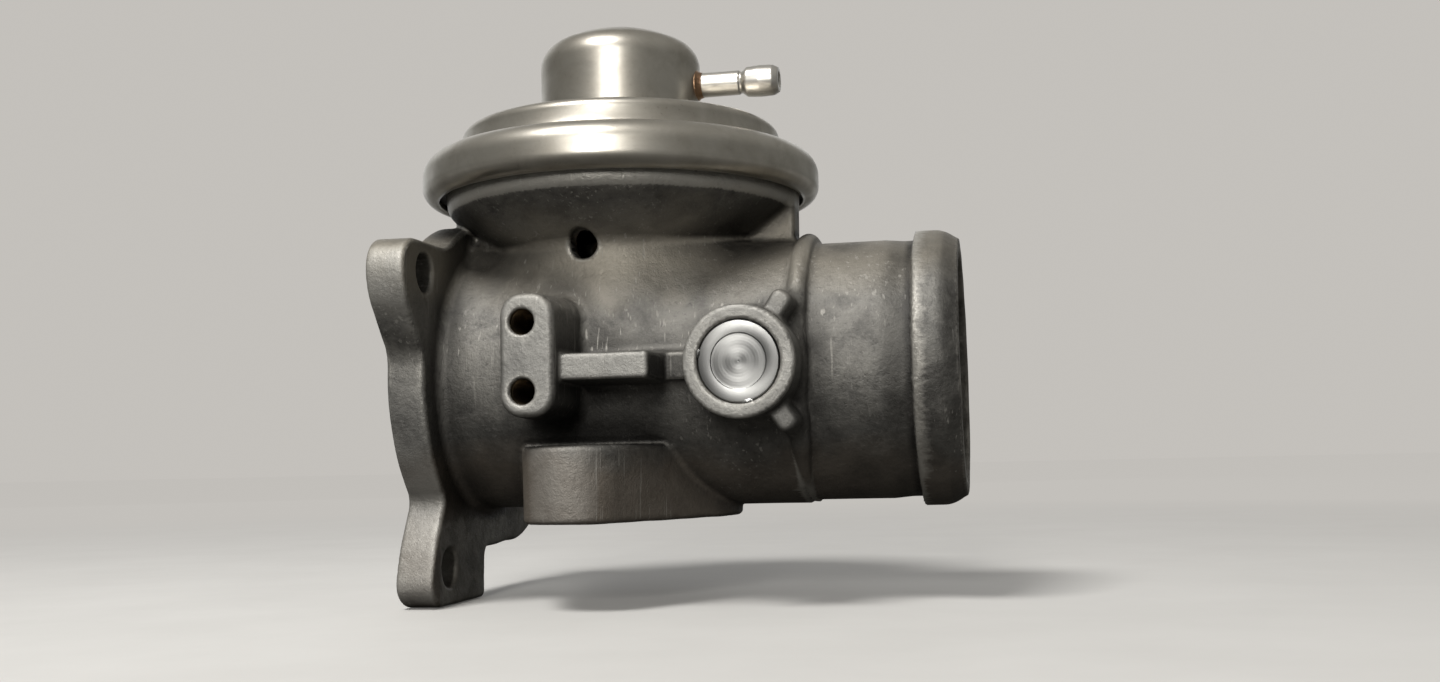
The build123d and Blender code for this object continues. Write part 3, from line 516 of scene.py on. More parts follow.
SOOTY_STEEL, tree, shader = new_material("sooty_steel", 0.7)
where = place(tree)
soot = noise(tree, where, 4, 5, 0.65, 0.5)
crumbs = noise(tree, where, 0.6, 3, 0.6)
colour = blend(tree, levels(tree, soot, 0.55, 0.72), (0.030, 0.028, 0.026), (0.210, 0.185, 0.150))
colour = blend(tree, levels(tree, crumbs, 0.55, 0.7, 0, 0.6), colour, (0.012, 0.011, 0.010))
rough = levels(tree, soot, 0.4, 0.7, 0.75, 0.4)
wire(tree, shader, colour, rough, relief(tree, (soot, 0.15), (crumbs, 0.09)))
print("rubber, cloth and soot are ready")

# %% [markdown]
# The housing is one sand casting: a duct, flanges, a neck, a bowl, lugs and ribs that melt into
# each other with soft fillets. Meshes joined by hand or by Booleans would give knife-sharp seams
# there. A distance field gives the foundry's own shape: each simple body is a function that says
# how far a point is from its skin, and two of them are joined by a rule that rolls a fillet of a
# chosen radius into the corner.


# %% Helpers: distances and the rules that join them
def join_round(a, b, r):
    """Union with a fillet: max(r, min(a, b)) - length(max(r - a, 0), max(r - b, 0))."""
    return np.maximum(r, np.minimum(a, b)) - np.hypot(np.maximum(r - a, 0), np.maximum(r - b, 0))


def meet_round(a, b, r):
    """Intersection with a rounded edge: min(-r, max(a, b)) + length(max(r + a, 0), max(r + b, 0))."""
    return np.minimum(-r, np.maximum(a, b)) + np.hypot(np.maximum(r + a, 0), np.maximum(r + b, 0))


def cut_round(a, b, r):
    """What is left of a when b is bored out of it, with the rim of the hole broken by r."""
    return meet_round(a, -b, r)


def slab(v, low, high):
    """Distance from the layer between low and high."""
    return np.abs(v - (low + high) / 2) - (high - low) / 2


def tapered_link(u, v, r1, r2, length):
    """Two circles r1 and r2 with their common tangents: the second lies at v = length.

    With b = (r1 - r2) / length and a = sqrt(1 - b^2), a point between the tangents' feet is
    a |u| + b v - r1 away; beyond them the nearer circle decides.
    """
    u = np.abs(u)
    b = (r1 - r2) / length
    a = math.sqrt(1 - b * b)
    k = a * v - b * u
    middle = a * u + b * v - r1
    far = np.hypot(u, v - length) - r2
    return np.where(k < 0, np.hypot(u, v) - r1, np.where(k > a * length, far, middle))


def rounded_rect(u, v, half_u, half_v, r):
    """Distance from a rectangle with corner radius r, centred on u = v = 0."""
    du, dv = np.abs(u) - half_u + r, np.abs(v) - half_v + r
    return np.hypot(np.maximum(du, 0), np.maximum(dv, 0)) + np.minimum(np.maximum(du, dv), 0) - r


# %% [markdown]
# The manifold flange is the piece of the outline that people know this valve by: a round plate
# with a square-shouldered lug in front, a heavy foot below and a third lug behind, tied to the
# plate by a web. Straight sides are half planes n . p - c, met with the corner radii of the core
# box.


# %% The flange outline, as a distance in the plane of the flange
def flange_outline(y, z):
    """Distance from the flange outline: circle, two cornered lugs, a web and the rear lug."""
    plate = np.hypot(y, z) - FLANGE_R
    side = -0.782 * y - 0.623 * z - 26.12
    front = meet_round(z - 28.4, -46.8 - y, 6.7)
    front = np.maximum(meet_round(front, side, 3.0), y + 12)
    slope = -0.883 * y + 0.469 * z - 9.91
    foot = meet_round(-49.4 - z, -33.3 - y, 7.0)
    foot = meet_round(foot, slope, 4.0)
    foot = np.maximum(meet_round(foot, y + 2.6, 1.6), z + 20)
    web = np.minimum(
        np.hypot(y - 16.0, z + 13.6) - 24.0, np.maximum(slab(y, -3.6, 16), slab(z, -37.6, 0))
    )
    rear = np.hypot(y - 38.0, z + 12.0) - 9.8
    outline = join_round(plate, front, 1.5)
    outline = join_round(outline, foot, 2.0)
    outline = join_round(outline, web, 3.0)
    return join_round(outline, rear, 3.0)


print("flange outline at the front lug's corner:", float(flange_outline(-46.8, 21.6).round(2)))

# %% [markdown]
# The outside of the duct is a lathe profile laid round its axis: a plain barrel, a half-round
# collar that stops the hose, a sleeve that tapers to a shallow waist, and the bead that keeps the
# hose on. Each is a plain cylinder or ring with an exact distance, so nothing is stretched where
# they meet. The core box was dressed flat under the collar, which is why the collar sinks into
# the duct down there.


# %% The duct's outside
def duct_outside(x, y, z):
    """Barrel, collar, spigot and hose bead: radial distances rho - R met with end planes."""
    rho = np.hypot(y, z)
    barrel = np.maximum(rho - DUCT_R, x - 85.0)
    fade = np.clip((-z - 16.0) / 12.0, 0, 1)
    collar = np.hypot(x - 86.0, rho - 28.75) - 2.15 + 1.8 * fade
    spigot = np.maximum(rho - 28.1, x - DUCT_LENGTH)
    sleeve = np.maximum(rho - SPIGOT_R + 0.1 * np.clip(x - 103.0, 0, 4), x - 109.0)
    bead = np.maximum(rho - BEAD_R, BEAD_X - x)
    bead = meet_round(bead, 0.5 * (rho - 27.6) + 0.866 * (x - DUCT_LENGTH), 3.2)
    out = join_round(np.minimum(barrel, sleeve), collar, 0.7)
    out = join_round(np.minimum(out, spigot), bead, 0.5)
    return meet_round(out, slab(x, 0, DUCT_LENGTH), 0.5)


# %% [markdown]
# Now the whole casting. First everything that the mould fills, then what the machine shop takes
# away. Castings get generous fillets of 2 to 7 mm, bored edges only a broken edge of 0.3 mm.


# %% The casting, filled by the mould
def casting_body(x, y, z):
    """Distance from the solid casting before machining, all in millimetres."""
    xv = x - VALVE_X
    rv = np.hypot(xv, y)
    body = duct_outside(x, y, z)
    flange = meet_round(flange_outline(y, z), slab(x, 0, FLANGE_T), 0.9)
    body = join_round(body, flange, 2.2)
    neck = np.maximum(rv - NECK_R, slab(z, 0, RIM_BOTTOM_Z))
    body = join_round(body, neck, 7.5)
    cone = 0.571 * (rv - 28.7) - 0.821 * (z - 29.8)
    bowl = np.maximum(meet_round(cone, rv - BOWL_R, 1.4), z - RIM_TOP_Z)
    body = join_round(body, bowl, 1.4)
    rim = meet_round(rv - RIM_R, slab(z, RIM_BOTTOM_Z, RIM_TOP_Z), 1.5)
    body = np.minimum(body, rim)
    gusset = meet_round(np.abs(y) - 4.0, x - VALVE_X - 40.9, 1.0)
    gusset = np.maximum(gusset, np.maximum(slab(z, BORE_R, RIM_BOTTOM_Z), VALVE_X - x))
    body = join_round(body, gusset, 1.6)
    turn = math.radians(86.3)
    u = xv * math.sin(turn) - y * math.cos(turn)
    v = np.abs(xv * math.cos(turn) + y * math.sin(turn))
    left_side = -0.9615 * (x - 27.6) - 0.2747 * (y + 31.0)
    inlet = meet_round(tapered_link(u, v, 26.4, 12.0, 31.0), left_side, 3.0)
    inlet = meet_round(inlet - 0.02 * (z - INLET_Z), slab(z, INLET_Z, INLET_TOP_Z), 1.1)
    body = join_round(body, inlet, 0.9)
    lump = np.sqrt(((x - 15.0) / 1.5) ** 2 + (y + 5.0) ** 2 + (z - 25.0) ** 2) - 8.2
    return join_round(body, lump, 2.5)


def casting_bosses(x, y, z):
    """Distance from the pad, the ribs, the shaft boss, its tabs and the rear boss."""
    xb = x - BOSS_X
    depth = y + 46.0
    pad = rounded_rect(x - 34.35, z - 2.5, 5.75, 12.5, 4.6) - 0.044 * depth
    pad = meet_round(pad, np.maximum(-depth, y + 20), 1.5)
    rib = meet_round(np.abs(z) - 2.75 - 0.03 * (y + 43), x - 58.6 - 0.05 * (y + 43), 0.9)
    rib = meet_round(rib, np.maximum(-43.0 - y, y + 20), 0.8)
    rib = np.maximum(rib, 34.0 - x)
    low = meet_round(np.abs(z - 0.3) - 2.9, np.maximum(-31.6 - y, y + 20), 0.6)
    low = np.maximum(low, slab(x, 50.0, BOSS_X))
    out = join_round(pad, rib, 0.8)
    out = join_round(out, low, 0.8)
    rb = np.hypot(xb, z)
    boss = meet_round(rb - BOSS_R - 0.012 * (y + 42), np.maximum(-42.0 - y, y + 20), 0.7)
    for angle in (57.0, -54.0):
        c, s = math.cos(math.radians(angle)), math.sin(math.radians(angle))
        along, across = xb * c + z * s, -xb * s + z * c
        tab = meet_round(along - 16.6, np.abs(across) - 2.3, 1.9)
        tab = meet_round(tab, np.maximum(-38.0 - y, y + 20), 1.3)
        boss = join_round(boss, np.maximum(tab, 8 - along), 0.9)
    rear = meet_round(rb - 8.0, np.maximum(y - 34.0, 20 - y), 1.0)
    return np.minimum(join_round(out, boss, 1.2), rear)


# %% What the machine shop takes away
def casting(x, y, z):
    """Distance from the finished housing: the melt of all bodies, bored, faced and drilled."""
    rho = np.hypot(y, z)
    xv = x - VALVE_X
    rv = np.hypot(xv, y)
    wavy = 0.05 + 0.05 * np.sin(0.31 * x + 0.4 * y) * np.sin(0.27 * z - 0.22 * y + 1.0)
    body = join_round(casting_body(x, y, z), casting_bosses(x, y, z), 2.0) + wavy
    body = np.maximum(body, np.maximum(-x, x - DUCT_LENGTH))
    body = cut_round(body, rho - BORE_R, 0.5)
    body = cut_round(body, np.maximum(rho - 26.5, x - 12.0), 0.3)
    inner_cone = 0.821 * (33.7 + 0.696 * (rv - 28.7) - z)
    space = np.minimum(rv - 20.5, np.maximum(inner_cone, rv - 37.4))
    space = np.maximum(space, np.maximum(28.9 - rho, -np.maximum(rv - 10.5, z - 33.0)))
    body = np.maximum(body, -np.maximum(space, -z))
    boss = meet_round(rv - 10.5, slab(z, 22.0, 33.0), 0.5)
    body = cut_round(np.minimum(body, boss), np.maximum(rv - 7.0, slab(z, 15.0, 40.0)), 0.3)
    port = np.minimum(np.maximum(rv - 16.5, z - SEAT_TOP_Z), rv - 15.2)
    body = cut_round(body, np.maximum(port, z), 0.4)
    rb = np.hypot(x - BOSS_X, z)
    body = cut_round(body, np.maximum(rb - 8.35, y + 36.0), 0.4)
    body = np.maximum(body, -np.maximum(rb - 4.0, y - 30.5))
    for hole_y, hole_z in FLANGE_HOLES:
        hole = np.maximum(np.hypot(y - hole_y, z - hole_z) - 4.2, x - 12.0)
        body = cut_round(body, hole, 0.7)
    body = np.maximum(body, -np.maximum(slab(rho, 28.3, 31.5), x - 2.9))
    vent = np.maximum(np.hypot(x - 40.4, z - 27.4) - 3.1, y)
    body = cut_round(body, vent, 0.5)
    for side in (-1, 1):
        bolt = np.hypot(x - VALVE_X - side * PIPE_BOLT_X, y - side * PIPE_BOLT_Y)
        body = cut_round(body, np.maximum(bolt - PIPE_BOLT_R, z + 18.6), 0.5)
        pad_hole = np.hypot(x - BRACKET_X, z - BRACKET_Z - side * BRACKET_HALF)
        body = cut_round(body, np.maximum(pad_hole - BRACKET_R, y + 31.0), 0.5)
    return body

# %% [markdown]
# A distance field is only a formula, so it needs a skin of faces. The surface-nets method walks
# through a grid of small cubes: every cube that the skin passes through gets one point, placed at
# the mean of the crossings on its edges, and every grid edge that the skin cuts gets one
# four-sided face between the four cubes round it. Afterwards each point slides onto the true
# surface, so the flats are flat and the bores are round.


# %% Helper: a skin for a distance field
def net_points(field, cells):
    """Mean of the crossings t = a / (a - b) on the twelve edges of each cell, in grid steps."""
    corners = np.array([(a, b, c) for a in (0, 1) for b in (0, 1) for c in (0, 1)])
    values = np.stack([field[tuple((cells + corner).T)] for corner in corners])
    total = np.zeros((len(cells), 3))
    hits = np.zeros(len(cells))
    for a in range(8):
        for b in range(a + 1, 8):
            if np.abs(corners[a] - corners[b]).sum() != 1:
                continue
            cut = (values[a] < 0) != (values[b] < 0)
            t = values[a] / np.where(cut, values[a] - values[b], 1)
            point = corners[a] + t[:, None] * (corners[b] - corners[a])
            total += np.where(cut[:, None], point, 0)
            hits += cut
    return cells + total / hits[:, None]


def net_faces(inside, number, axis):
    """Faces across the grid edges that run along one axis, turned to look out of the body."""
    order = [axis, (axis + 1) % 3, (axis + 2) % 3]
    solid = np.moveaxis(inside, order, (0, 1, 2))
    cells = np.moveaxis(number, order, (0, 1, 2))
    change = solid[:-1, 1:-1, 1:-1] != solid[1:, 1:-1, 1:-1]
    i, j, k = (np.argwhere(change) + (0, 1, 1)).T
    faces = np.stack(
        [cells[i, j - 1, k - 1], cells[i, j, k - 1], cells[i, j, k], cells[i, j - 1, k]], -1
    )
    outward = solid[i, j, k]
    return np.where(outward[:, None], faces, faces[:, ::-1])


def slopes(distance, points, h=0.05):
    """Gradient of the field by central differences, one row per point."""
    rows = []
    for axis in range(3):
        step = np.zeros(3)
        step[axis] = h
        rows.append((distance(*(points + step).T) - distance(*(points - step).T)) / (2 * h))
    return np.stack(rows, -1)


def settle(distance, points, rounds, reach):
    """Newton's step p - f(p) g / (g . g), never longer than reach, done a few times."""
    for _ in range(rounds):
        g = slopes(distance, points)
        f = distance(*points.T)
        move = -f[:, None] * g / np.maximum((g * g).sum(1), 0.2)[:, None]
        size = np.linalg.norm(move, axis=1, keepdims=True)
        points = points + move * np.minimum(1, reach / np.maximum(size, 1e-9))
    return points


def skin(distance, low, high, step):
    """Points and four-sided faces of the zero surface of a distance function."""
    axes = [np.arange(a, b + step, step, dtype=np.float32) for a, b in zip(low, high)]
    x, y, z = np.meshgrid(*axes, indexing="ij", sparse=True)
    field = distance(x, y, z).astype(np.float32)
    inside = field < 0
    last = [len(axis) - 1 for axis in axes]
    count = sum(
        inside[a : a + last[0], b : b + last[1], c : c + last[2]].astype(np.int8)
        for a in (0, 1) for b in (0, 1) for c in (0, 1)
    )
    active = (count > 0) & (count < 8)
    cells = np.argwhere(active)
    number = np.full(active.shape, -1, dtype=np.int32)
    number[active] = np.arange(len(cells))
    points = np.asarray(low) + step * net_points(field, cells)
    faces = np.concatenate([net_faces(inside, number, axis) for axis in range(3)])
    return points, faces


# %% [markdown]
# The step of the grid decides how small an edge can be. A fine grid gives far more faces than the
# flat places need, so the Decimate modifier then spends them where the form turns, and the points
# are settled once more.

# %% The housing
STEP = 0.62
MOST_FACES = 186000
points, faces = skin(casting, (-1.5, -49.0, -51.5), (120.5, 50.0, 50.0), STEP)
points = settle(casting, points, 2, 0.6 * STEP)
housing = finish_piece("housing_casting", points, faces, CAST_ALUMINIUM, node="housing")
print("skin:", len(points), "points,", len(faces), "faces")

# %% Fewer faces on the flats
wanted = MOST_FACES / (2 * len(faces))
if wanted < 1:
    thin = housing.modifiers.new("thin", "DECIMATE")
    thin.ratio = wanted
    thin.use_collapse_triangulate = True
    thinned = housing.evaluated_get(bpy.context.evaluated_depsgraph_get())
    fewer = bpy.data.meshes.new_from_object(thinned)
    housing.modifiers.clear()
    housing.data = fewer
flat = np.empty(3 * len(housing.data.vertices), dtype=np.float32)
housing.data.vertices.foreach_get("co", flat)
points = settle(casting, flat.reshape(-1, 3).astype(float) / MM, 1, 0.12)
housing.data.vertices.foreach_set("co", (points * MM).astype(np.float32).ravel())
housing.data.update()
print("thinned to", len(housing.data.polygons), "faces")

# %% [markdown]
# The material can't know where an edge is or where shade falls, but the shape can. So each point
# keeps seven numbers of 0 to 1 for it: how far the metal stands out there (proud, where edges wear
# bright, with painted highlights along the bowl lip and the bead's ridge), how deep it lies in a
# corner or a hollow (crevice and hollow, for painted shade with some dirt), how far it faces down
# (under, for painted shade), where painted shadows and oil stains lie (oiled), where a flat face
# looks forward and gets painted light (rubbed), and where a tool has cut through the casting skin
# (machined).

# %% What the surface has been through, and where light and shade are painted
outward = slopes(casting, points)
outward /= np.linalg.norm(outward, axis=1, keepdims=True) + 1e-9
px, py, pz = points.T
rho = np.hypot(py, pz)
rv = np.hypot(px - VALVE_X, py)
rb = np.hypot(px - BOSS_X, pz)


def sounding(depth):
    """Distance found when one steps out along the normal, compared with a flat place."""
    return casting(*(points + outward * depth).T) - depth


def ramp(values, most=1.0):
    """Clips to 0..most."""
    return np.clip(values, 0, most)


# Painted highlights: a bright line along the lip of the bowl and along the ridge of the hose bead.
lip_highlight = (rv > 39.2) * (pz < 41.5) * ramp((pz - 36.6) / 1.2, 0.85)
ridge_highlight = (pz > -24) * ramp(1.5 - np.abs(px - 110.6), 0.55)
wear_and_shade = {
    # proud: edges that stand out wear pale, and the painted highlights are added to them
    "edges_and_highlights": np.maximum.reduce([ramp(sounding(-1.2) / 0.8), lip_highlight, ridge_highlight]),
    # crevice and hollow: painted shade in corners and hollows, with some dirt
    "crevice": ramp(-sounding(2.5) / 2.0),
    "hollow": ramp(-sounding(9.0) / 8.0),
    # under: painted shade on the faces that look down
    "under": ramp(-1.25 * outward[:, 2] - 0.05),
}
print("sounded", len(points), "points")

# %% Dark spots of painted shadow and oil stain, painted shadow on the tops under the capsule, and painted shade in the spigot's waist and mouth
# (x, y, z, size) in mm of dark spots: painted shadows below the pad, the rib and the boss, under the
# bowl and on the bead, with oil stains
STAIN_AND_SHADOW_SPOTS = (
    (15, -14, 26, 11), (20, -20, 24, 8), (53, -29, -11, 11), (43, -30, -9, 9), (66, -27, -14, 10),
    (78, -24, -19, 12), (46, -30, 4, 6), (90, -24, -20, 9), (36, -24, 17, 7), (100, -20, -24, 12),
    (12, -20, -26, 10), (4, -24, -26, 9), (33, -15, 25, 9), (26, -28, -14, 6), (89, -27, 4, 4),
    (113, -29, -4, 8), (112, -24, -18, 13), (95, -10, 26, 9), (27, -18, 23, 11),
)
# painted shadow of the capsule on the faces that look up below it
shadow_on_tops = ramp(1.6 * outward[:, 2] - 0.75, 0.6) * (pz < 34)
# painted shadow in the waist beside the hose bead
waist = ramp(1.6 - np.abs(px - 106.6) / 2.7)
# painted shade at the mouth of the spigot
mouth = ramp((px - 114.6) / 1.6, 0.95)
spots = [ramp(1.3 - np.linalg.norm(points - at, axis=1) / size) for *at, size in STAIN_AND_SHADOW_SPOTS]
# oil stains together with painted shadows and painted shade, kept as one number per point
wear_and_shade["stains_and_shadows"] = np.maximum.reduce([*spots, shadow_on_tops, waist, mouth])

# %% Forward faces that get painted light, and machined faces
# faces that look forward get painted light, at these shares on the tabs and the inlet
TABS_LIT, INLET_LIT = 0.75, 0.45
front = (py < -40.6) & (pz < 30)
tabs = (py < -37.2) & (np.abs(pz) < 18) & (px > BOSS_X)
share = np.where(front, np.where(pz < -14, INLET_LIT, 1.0), TABS_LIT * tabs)
# faces of the flange that look forward, paler towards the bottom: painted light
flange_edge = (px < 8.4) * ramp(-3 * outward[:, 1] - 1.2) * ramp((6 - pz) / 40, 0.8)
wear_and_shade["lit_front"] = np.maximum(ramp(-4 * outward[:, 1] - 2.8) * share, flange_edge)
cut_faces = [
    rho < 26.6,
    px < 0.15,
    px > DUCT_LENGTH - 0.15,
    (pz < INLET_Z + 0.15) & (rv < 44.0),
    (rv < 16.6) & (pz < 0),
    (rb < PLUG_SEAT_R) & (py < -30),
    (pz > RIM_TOP_Z - 0.15),
    (rv < 8.0) & (pz > 20),
]
wear_and_shade["machined"] = np.any(cut_faces, axis=0).astype(float)
for label, values in wear_and_shade.items():
    point_values(housing, label, values)
    print(label, "mean", float(values.mean().round(3)), "greatest", float(values.max().round(2)))

# %% [markdown]
# The threads in the two bracket holes and in the two pipe-flange holes catch the light as fine
# brassy turns. They are cut metal, so they are made as a thin sleeve that lies in the drilled
# hole: its inner wall goes in and out once for every turn of the screw.


# %% Tapped holes
def thread(name, mouth, axis, hole_r, pitch, length):
    """Sleeve whose inside radius is hole_r - 0.27 pitch * (0.5 - 0.5 cos(2 pi (s / pitch - a)))."""
    rows, turns = 40, length / pitch
    s = np.linspace(0, length, int(turns * 10) + 1)
    a = np.linspace(0, 2 * np.pi, rows, endpoint=False)
    wave = np.cos(2 * np.pi * s[None, :] / pitch - a[:, None])
    fade = np.clip(np.minimum(s, length - s) / pitch, 0, 1)
    inner = hole_r - 0.03 - 0.27 * pitch * (0.5 - 0.5 * wave) * fade
    outer = np.full_like(inner, hole_r - 0.012)
    radius = np.concatenate([inner, outer[:, ::-1]], axis=1)
    along = np.concatenate([s, s[::-1]])
    axis = np.asarray(axis, dtype=float)
    side = np.array([1.0, 0.0, 0.0])
    up = np.cross(axis, side)
    round_ = np.cos(a)[:, None] * side + np.sin(a)[:, None] * up
    points = np.asarray(mouth) + along[None, :, None] * axis + radius[:, :, None] * round_[:, None]
    faces = grid_faces(rows, len(along))
    close_and_face_out(finish_piece(name, points.reshape(-1, 3), faces, TAPPED_METAL))


for label, side in (("upper", 1), ("lower", -1)):
    mouth = (BRACKET_X, -45.2, BRACKET_Z + side * BRACKET_HALF)
    thread("bracket_thread_" + label, mouth, (0, 1, 0), BRACKET_R, 1.0, 13.0)
for label, side in (("front", -1), ("rear", 1)):
    mouth = (VALVE_X + side * PIPE_BOLT_X, side * PIPE_BOLT_Y, -30.9)
    thread("pipe_thread_" + label, mouth, (0, 0, 1), PIPE_BOLT_R, 1.25, 11.5)
print("four tapped holes")

# %% [markdown]
# The vacuum capsule is the showpiece. It is deep-drawn from sheet 1.2 mm thick: a small cap, a
# wider low can under it, and a skirt that is rolled in under the bowl's rim. Its outer line is
# built from arcs and straights, and the inner wall is the same line moved in along its own
# normals, so the sheet is equally thick all over.


# %% The cover's line
def arc(centre, radius, start, end, count):
    """Points centre + radius (cos a, sin a) for count angles from start to end, in degrees."""
    a = np.radians(np.linspace(start, end, count))
    return np.stack([centre[0] + radius * np.cos(a), centre[1] + radius * np.sin(a)], -1)


def sheet(line, thickness):
    """Closed outline of a sheet: the line, then the same line shifted inwards by thickness."""
    run = np.gradient(line, axis=0)
    run /= np.linalg.norm(run, axis=1)[:, None]
    normal = np.stack([-run[:, 1], run[:, 0]], -1)
    return np.concatenate([line, (line + thickness * normal)[::-1]])


skirt_bend = arc((40.8, 45.7), 4.8, 0, 82, 16)
can_bend = arc((34.5, 54.6), 2.2, 0, 83, 12)
cap_bend = arc((12.6, 72.2), 6.0, 0, 62.5, 14)
dome_half = math.radians(27.5)
dome_r = cap_bend[-1, 0] / math.sin(dome_half)
dome_z = cap_bend[-1, 1] - dome_r * math.cos(dome_half)
cover_line = np.concatenate(
    [
        [(42.0, 40.12), (42.8, 40.12)],
        arc((42.5, 43.2), 3.1, -70, 0, 12),
        [(45.6, 44.0), (45.6, 44.9)],
        skirt_bend,
        [(39.9, 50.57), (38.6, 50.78)],
        arc((38.3, 52.0), 1.15, 270, 190, 6),
        [(36.95, 52.9), (36.82, 53.7)],
        can_bend,
        [(33.0, 57.02), (30.0, 57.38), (26.0, 57.86), (22.0, 58.35)],
        arc((19.8, 59.8), 1.2, 270, 180, 8),
        [(18.6, 61.5), (18.6, 66.0), (18.6, 70.5)],
        cap_bend,
        arc((0, dome_z), dome_r, 62.5, 90, 16)[1:-1],
        [(0.02, dome_z + dome_r)],
    ]
)
print("cover line:", len(cover_line), "points, dome top at", round(dome_z + dome_r, 2))

# %% The cover
outline = sheet(cover_line, SHEET)
outline[:, 0] = np.maximum(outline[:, 0], 0.02)
points, faces = spun(outline[:, ::-1], 224, (VALVE_X, 0, 0), (0, 0, 1))
cover = finish_piece("vacuum_cover_shell", points, faces, SATIN_STEEL, node="vacuum_cover")
close_and_face_out(cover, 0.01)
print("cover:", len(cover.data.polygons), "faces")

# %% [markdown]
# The nipple is a short tube with a swollen end that holds the hose. Next to the cap, copper has
# run round it when it was brazed in, and left a brown collar. Both are turned about the same
# sideways line.

# %% Nipple and its braze
SIDEWAYS = {"centre": (VALVE_X, 0, NIPPLE_Z), "axis": (1, 0, 0)}
turned(
    "vacuum_nipple_tube",
    [(15.8, 1.7), (15.8, 2.85), (28.35, 2.8), (28.7, 2.52), (29.0, 2.56), (30.2, 3.42), (33.2, 3.62),
     (36.3, 3.5), (37.6, 2.85), (37.6, 1.95), (37.2, 1.7)],
    [0.1, 0.1, 0.25, 0.1, 0.1, 1.0, 3.0, 1.6, 0.4, 0.12, 0.1],
    PLATED_STEEL, node="vacuum_nipple", rows=96, steps=8, **SIDEWAYS,
)
turned(
    "nipple_braze_collar",
    [(18.05, 2.80), (18.05, 3.65), (18.50, 3.60), (18.9, 3.20), (19.5, 2.96), (20.1, 2.83)],
    [0.05, 0.2, 0.3, 0.6, 0.5, 0.05],
    COPPER_BRAZE, node="nipple_braze", rows=64, **SIDEWAYS,
)

# %% [markdown]
# The plug that closes the shaft bore was faced on a lathe. Its widest rings are real geometry:
# the face of the profile goes up and down by less than a hundredth of a millimetre, which is
# enough to bend the light.

# %% Shaft bore plug
ring_r = np.arange(5.35, 0.3, -0.12)
fine_rings = 0.0015 * np.sin(2 * np.pi * ring_r / 0.61)
ring_y = -41.45 + fine_rings + 0.008 * np.sin(2 * np.pi * ring_r / 2.3)
face_rings = list(zip(ring_y, ring_r))
turned(
    "shaft_bore_plug_face",
    [(-36.05, 0.02), (-36.05, 8.1), (-41.4, 8.2), (-41.60, 8.0), (-41.60, 5.65), (-41.45, 5.5)]
    + face_rings + [(-41.45, 0.02)],
    [0, 0.2, 0.15, 0.15, 0.06, 0.05] + [0.05] * (len(face_rings) + 1),
    TURNED_ALUMINIUM, node="shaft_bore_plug", rows=128, steps=2,
    centre=(BOSS_X, 0, 0), axis=(0, 1, 0),
)

# %% [markdown]
# A plug like this is held by a few punch strokes that push a little of the boss over its edge.
# Two such stakes remain as small bright lumps, made as a bump of metal on a round patch.


# %% Stakes
def stake(name, angle, size=0.9):
    """Lump 0.02 + 0.34 size cos^2(pi r / 2) high on an oval patch at the edge of the bore.

    r runs from 0 in the middle of the patch to 1 at its rim; angle is counted round the boss.
    """
    c, s = math.cos(math.radians(angle)), math.sin(math.radians(angle))
    r = np.linspace(0.03, 1, 7)
    rows = 18
    a = np.linspace(0, 2 * np.pi, rows, endpoint=False)
    u, v = np.outer(np.cos(a), r) * size * 1.3, np.outer(np.sin(a), r) * size * 0.6
    lift = 0.34 * size * np.cos(r * np.pi / 2) ** 2 + 0.02
    x = BOSS_X + c * (PLUG_SEAT_R + v) - s * u
    z = s * (PLUG_SEAT_R + v) + c * u
    top = np.stack([x, -41.62 - lift[None, :] + 0 * x, z], -1)
    low = np.stack([x, -41.3 + 0 * x, z], -1)[:, ::-1]
    points = np.concatenate([top, low], axis=1)
    faces = grid_faces(rows, points.shape[1])
    points = points.reshape(-1, 3)
    close_and_face_out(finish_piece(name, points, faces, TURNED_ALUMINIUM))


stake("plug_stake_lower", -78)
stake("plug_stake_upper", 168, 0.7)
print("two stakes hold the plug")

# %% [markdown]
# Under the pipe flange sits the part that does the work: a hard seat pressed into the casting, a
# disc that closes it from above, and a stem that runs up through a guide bush. A thin cup keeps
# the hot gas off the bush, and a capped seal keeps it out of the capsule.

# %% Seat, disc, stem and guide
turned("valve_seat_ring", [(-30.6, 12.5), (-30.6, 16.48), (-26.0, 16.48), (-26.0, 12.5)],
       [1.1, 0.25, 0.25, 1.1], SOOTY_STEEL, node="valve_seat", rows=128)
turned("valve_disc_head",
       [(-26.0, 3.02), (-26.0, 14.2), (-23.0, 14.2), (-23.0, 8.5), (-19.0, 6.5), (-19.0, 3.02)],
       [0, 0.8, 0.9, 1.5, 0.3, 0], SOOTY_STEEL, body="valve", node="valve_disc", rows=128)
turned("valve_stem_rod",
       [(-26.3, 0.02), (-26.3, 3.0), (-19.0, 3.0), (-19.0, 4.0), (35.4, 4.0), (35.4, 3.0),
        (49.2, 3.0), (49.2, 0.02)],
       [0, 0.3, 0.02, 0.4, 0.3, 0.05, 0.7, 0],
       STAINLESS_STEEL, body="valve", node="valve_stem", rows=64)
turned("stem_stop_collar", [(35.4, 3.02), (35.4, 6.6), (38.3, 6.6), (38.3, 3.02)],
       [0.1, 0.6, 0.3, 0.1], STAINLESS_STEEL, body="valve", node="stem_collar", rows=64,
       finish="plated_steel")
turned("stem_guide_bush",
       [(19.9, 4.05), (19.9, 8.2), (21.1, 8.2), (21.1, 6.98), (30.0, 6.98), (30.0, 4.05)],
       [0.25, 0.2, 0.1, 0.05, 0.2, 0.2], SINTERED_BRONZE, node="guide_bush", rows=64)
turned("guide_heat_shield",
       [(18.6, 11.5), (18.6, 12.4), (22.0, 12.4), (22.0, 7.0), (21.1, 7.0), (21.1, 11.5)],
       [0.3, 0.3, 1.1, 0.1, 0.1, 0.4], SOOTY_STEEL, node="heat_shield", rows=96)
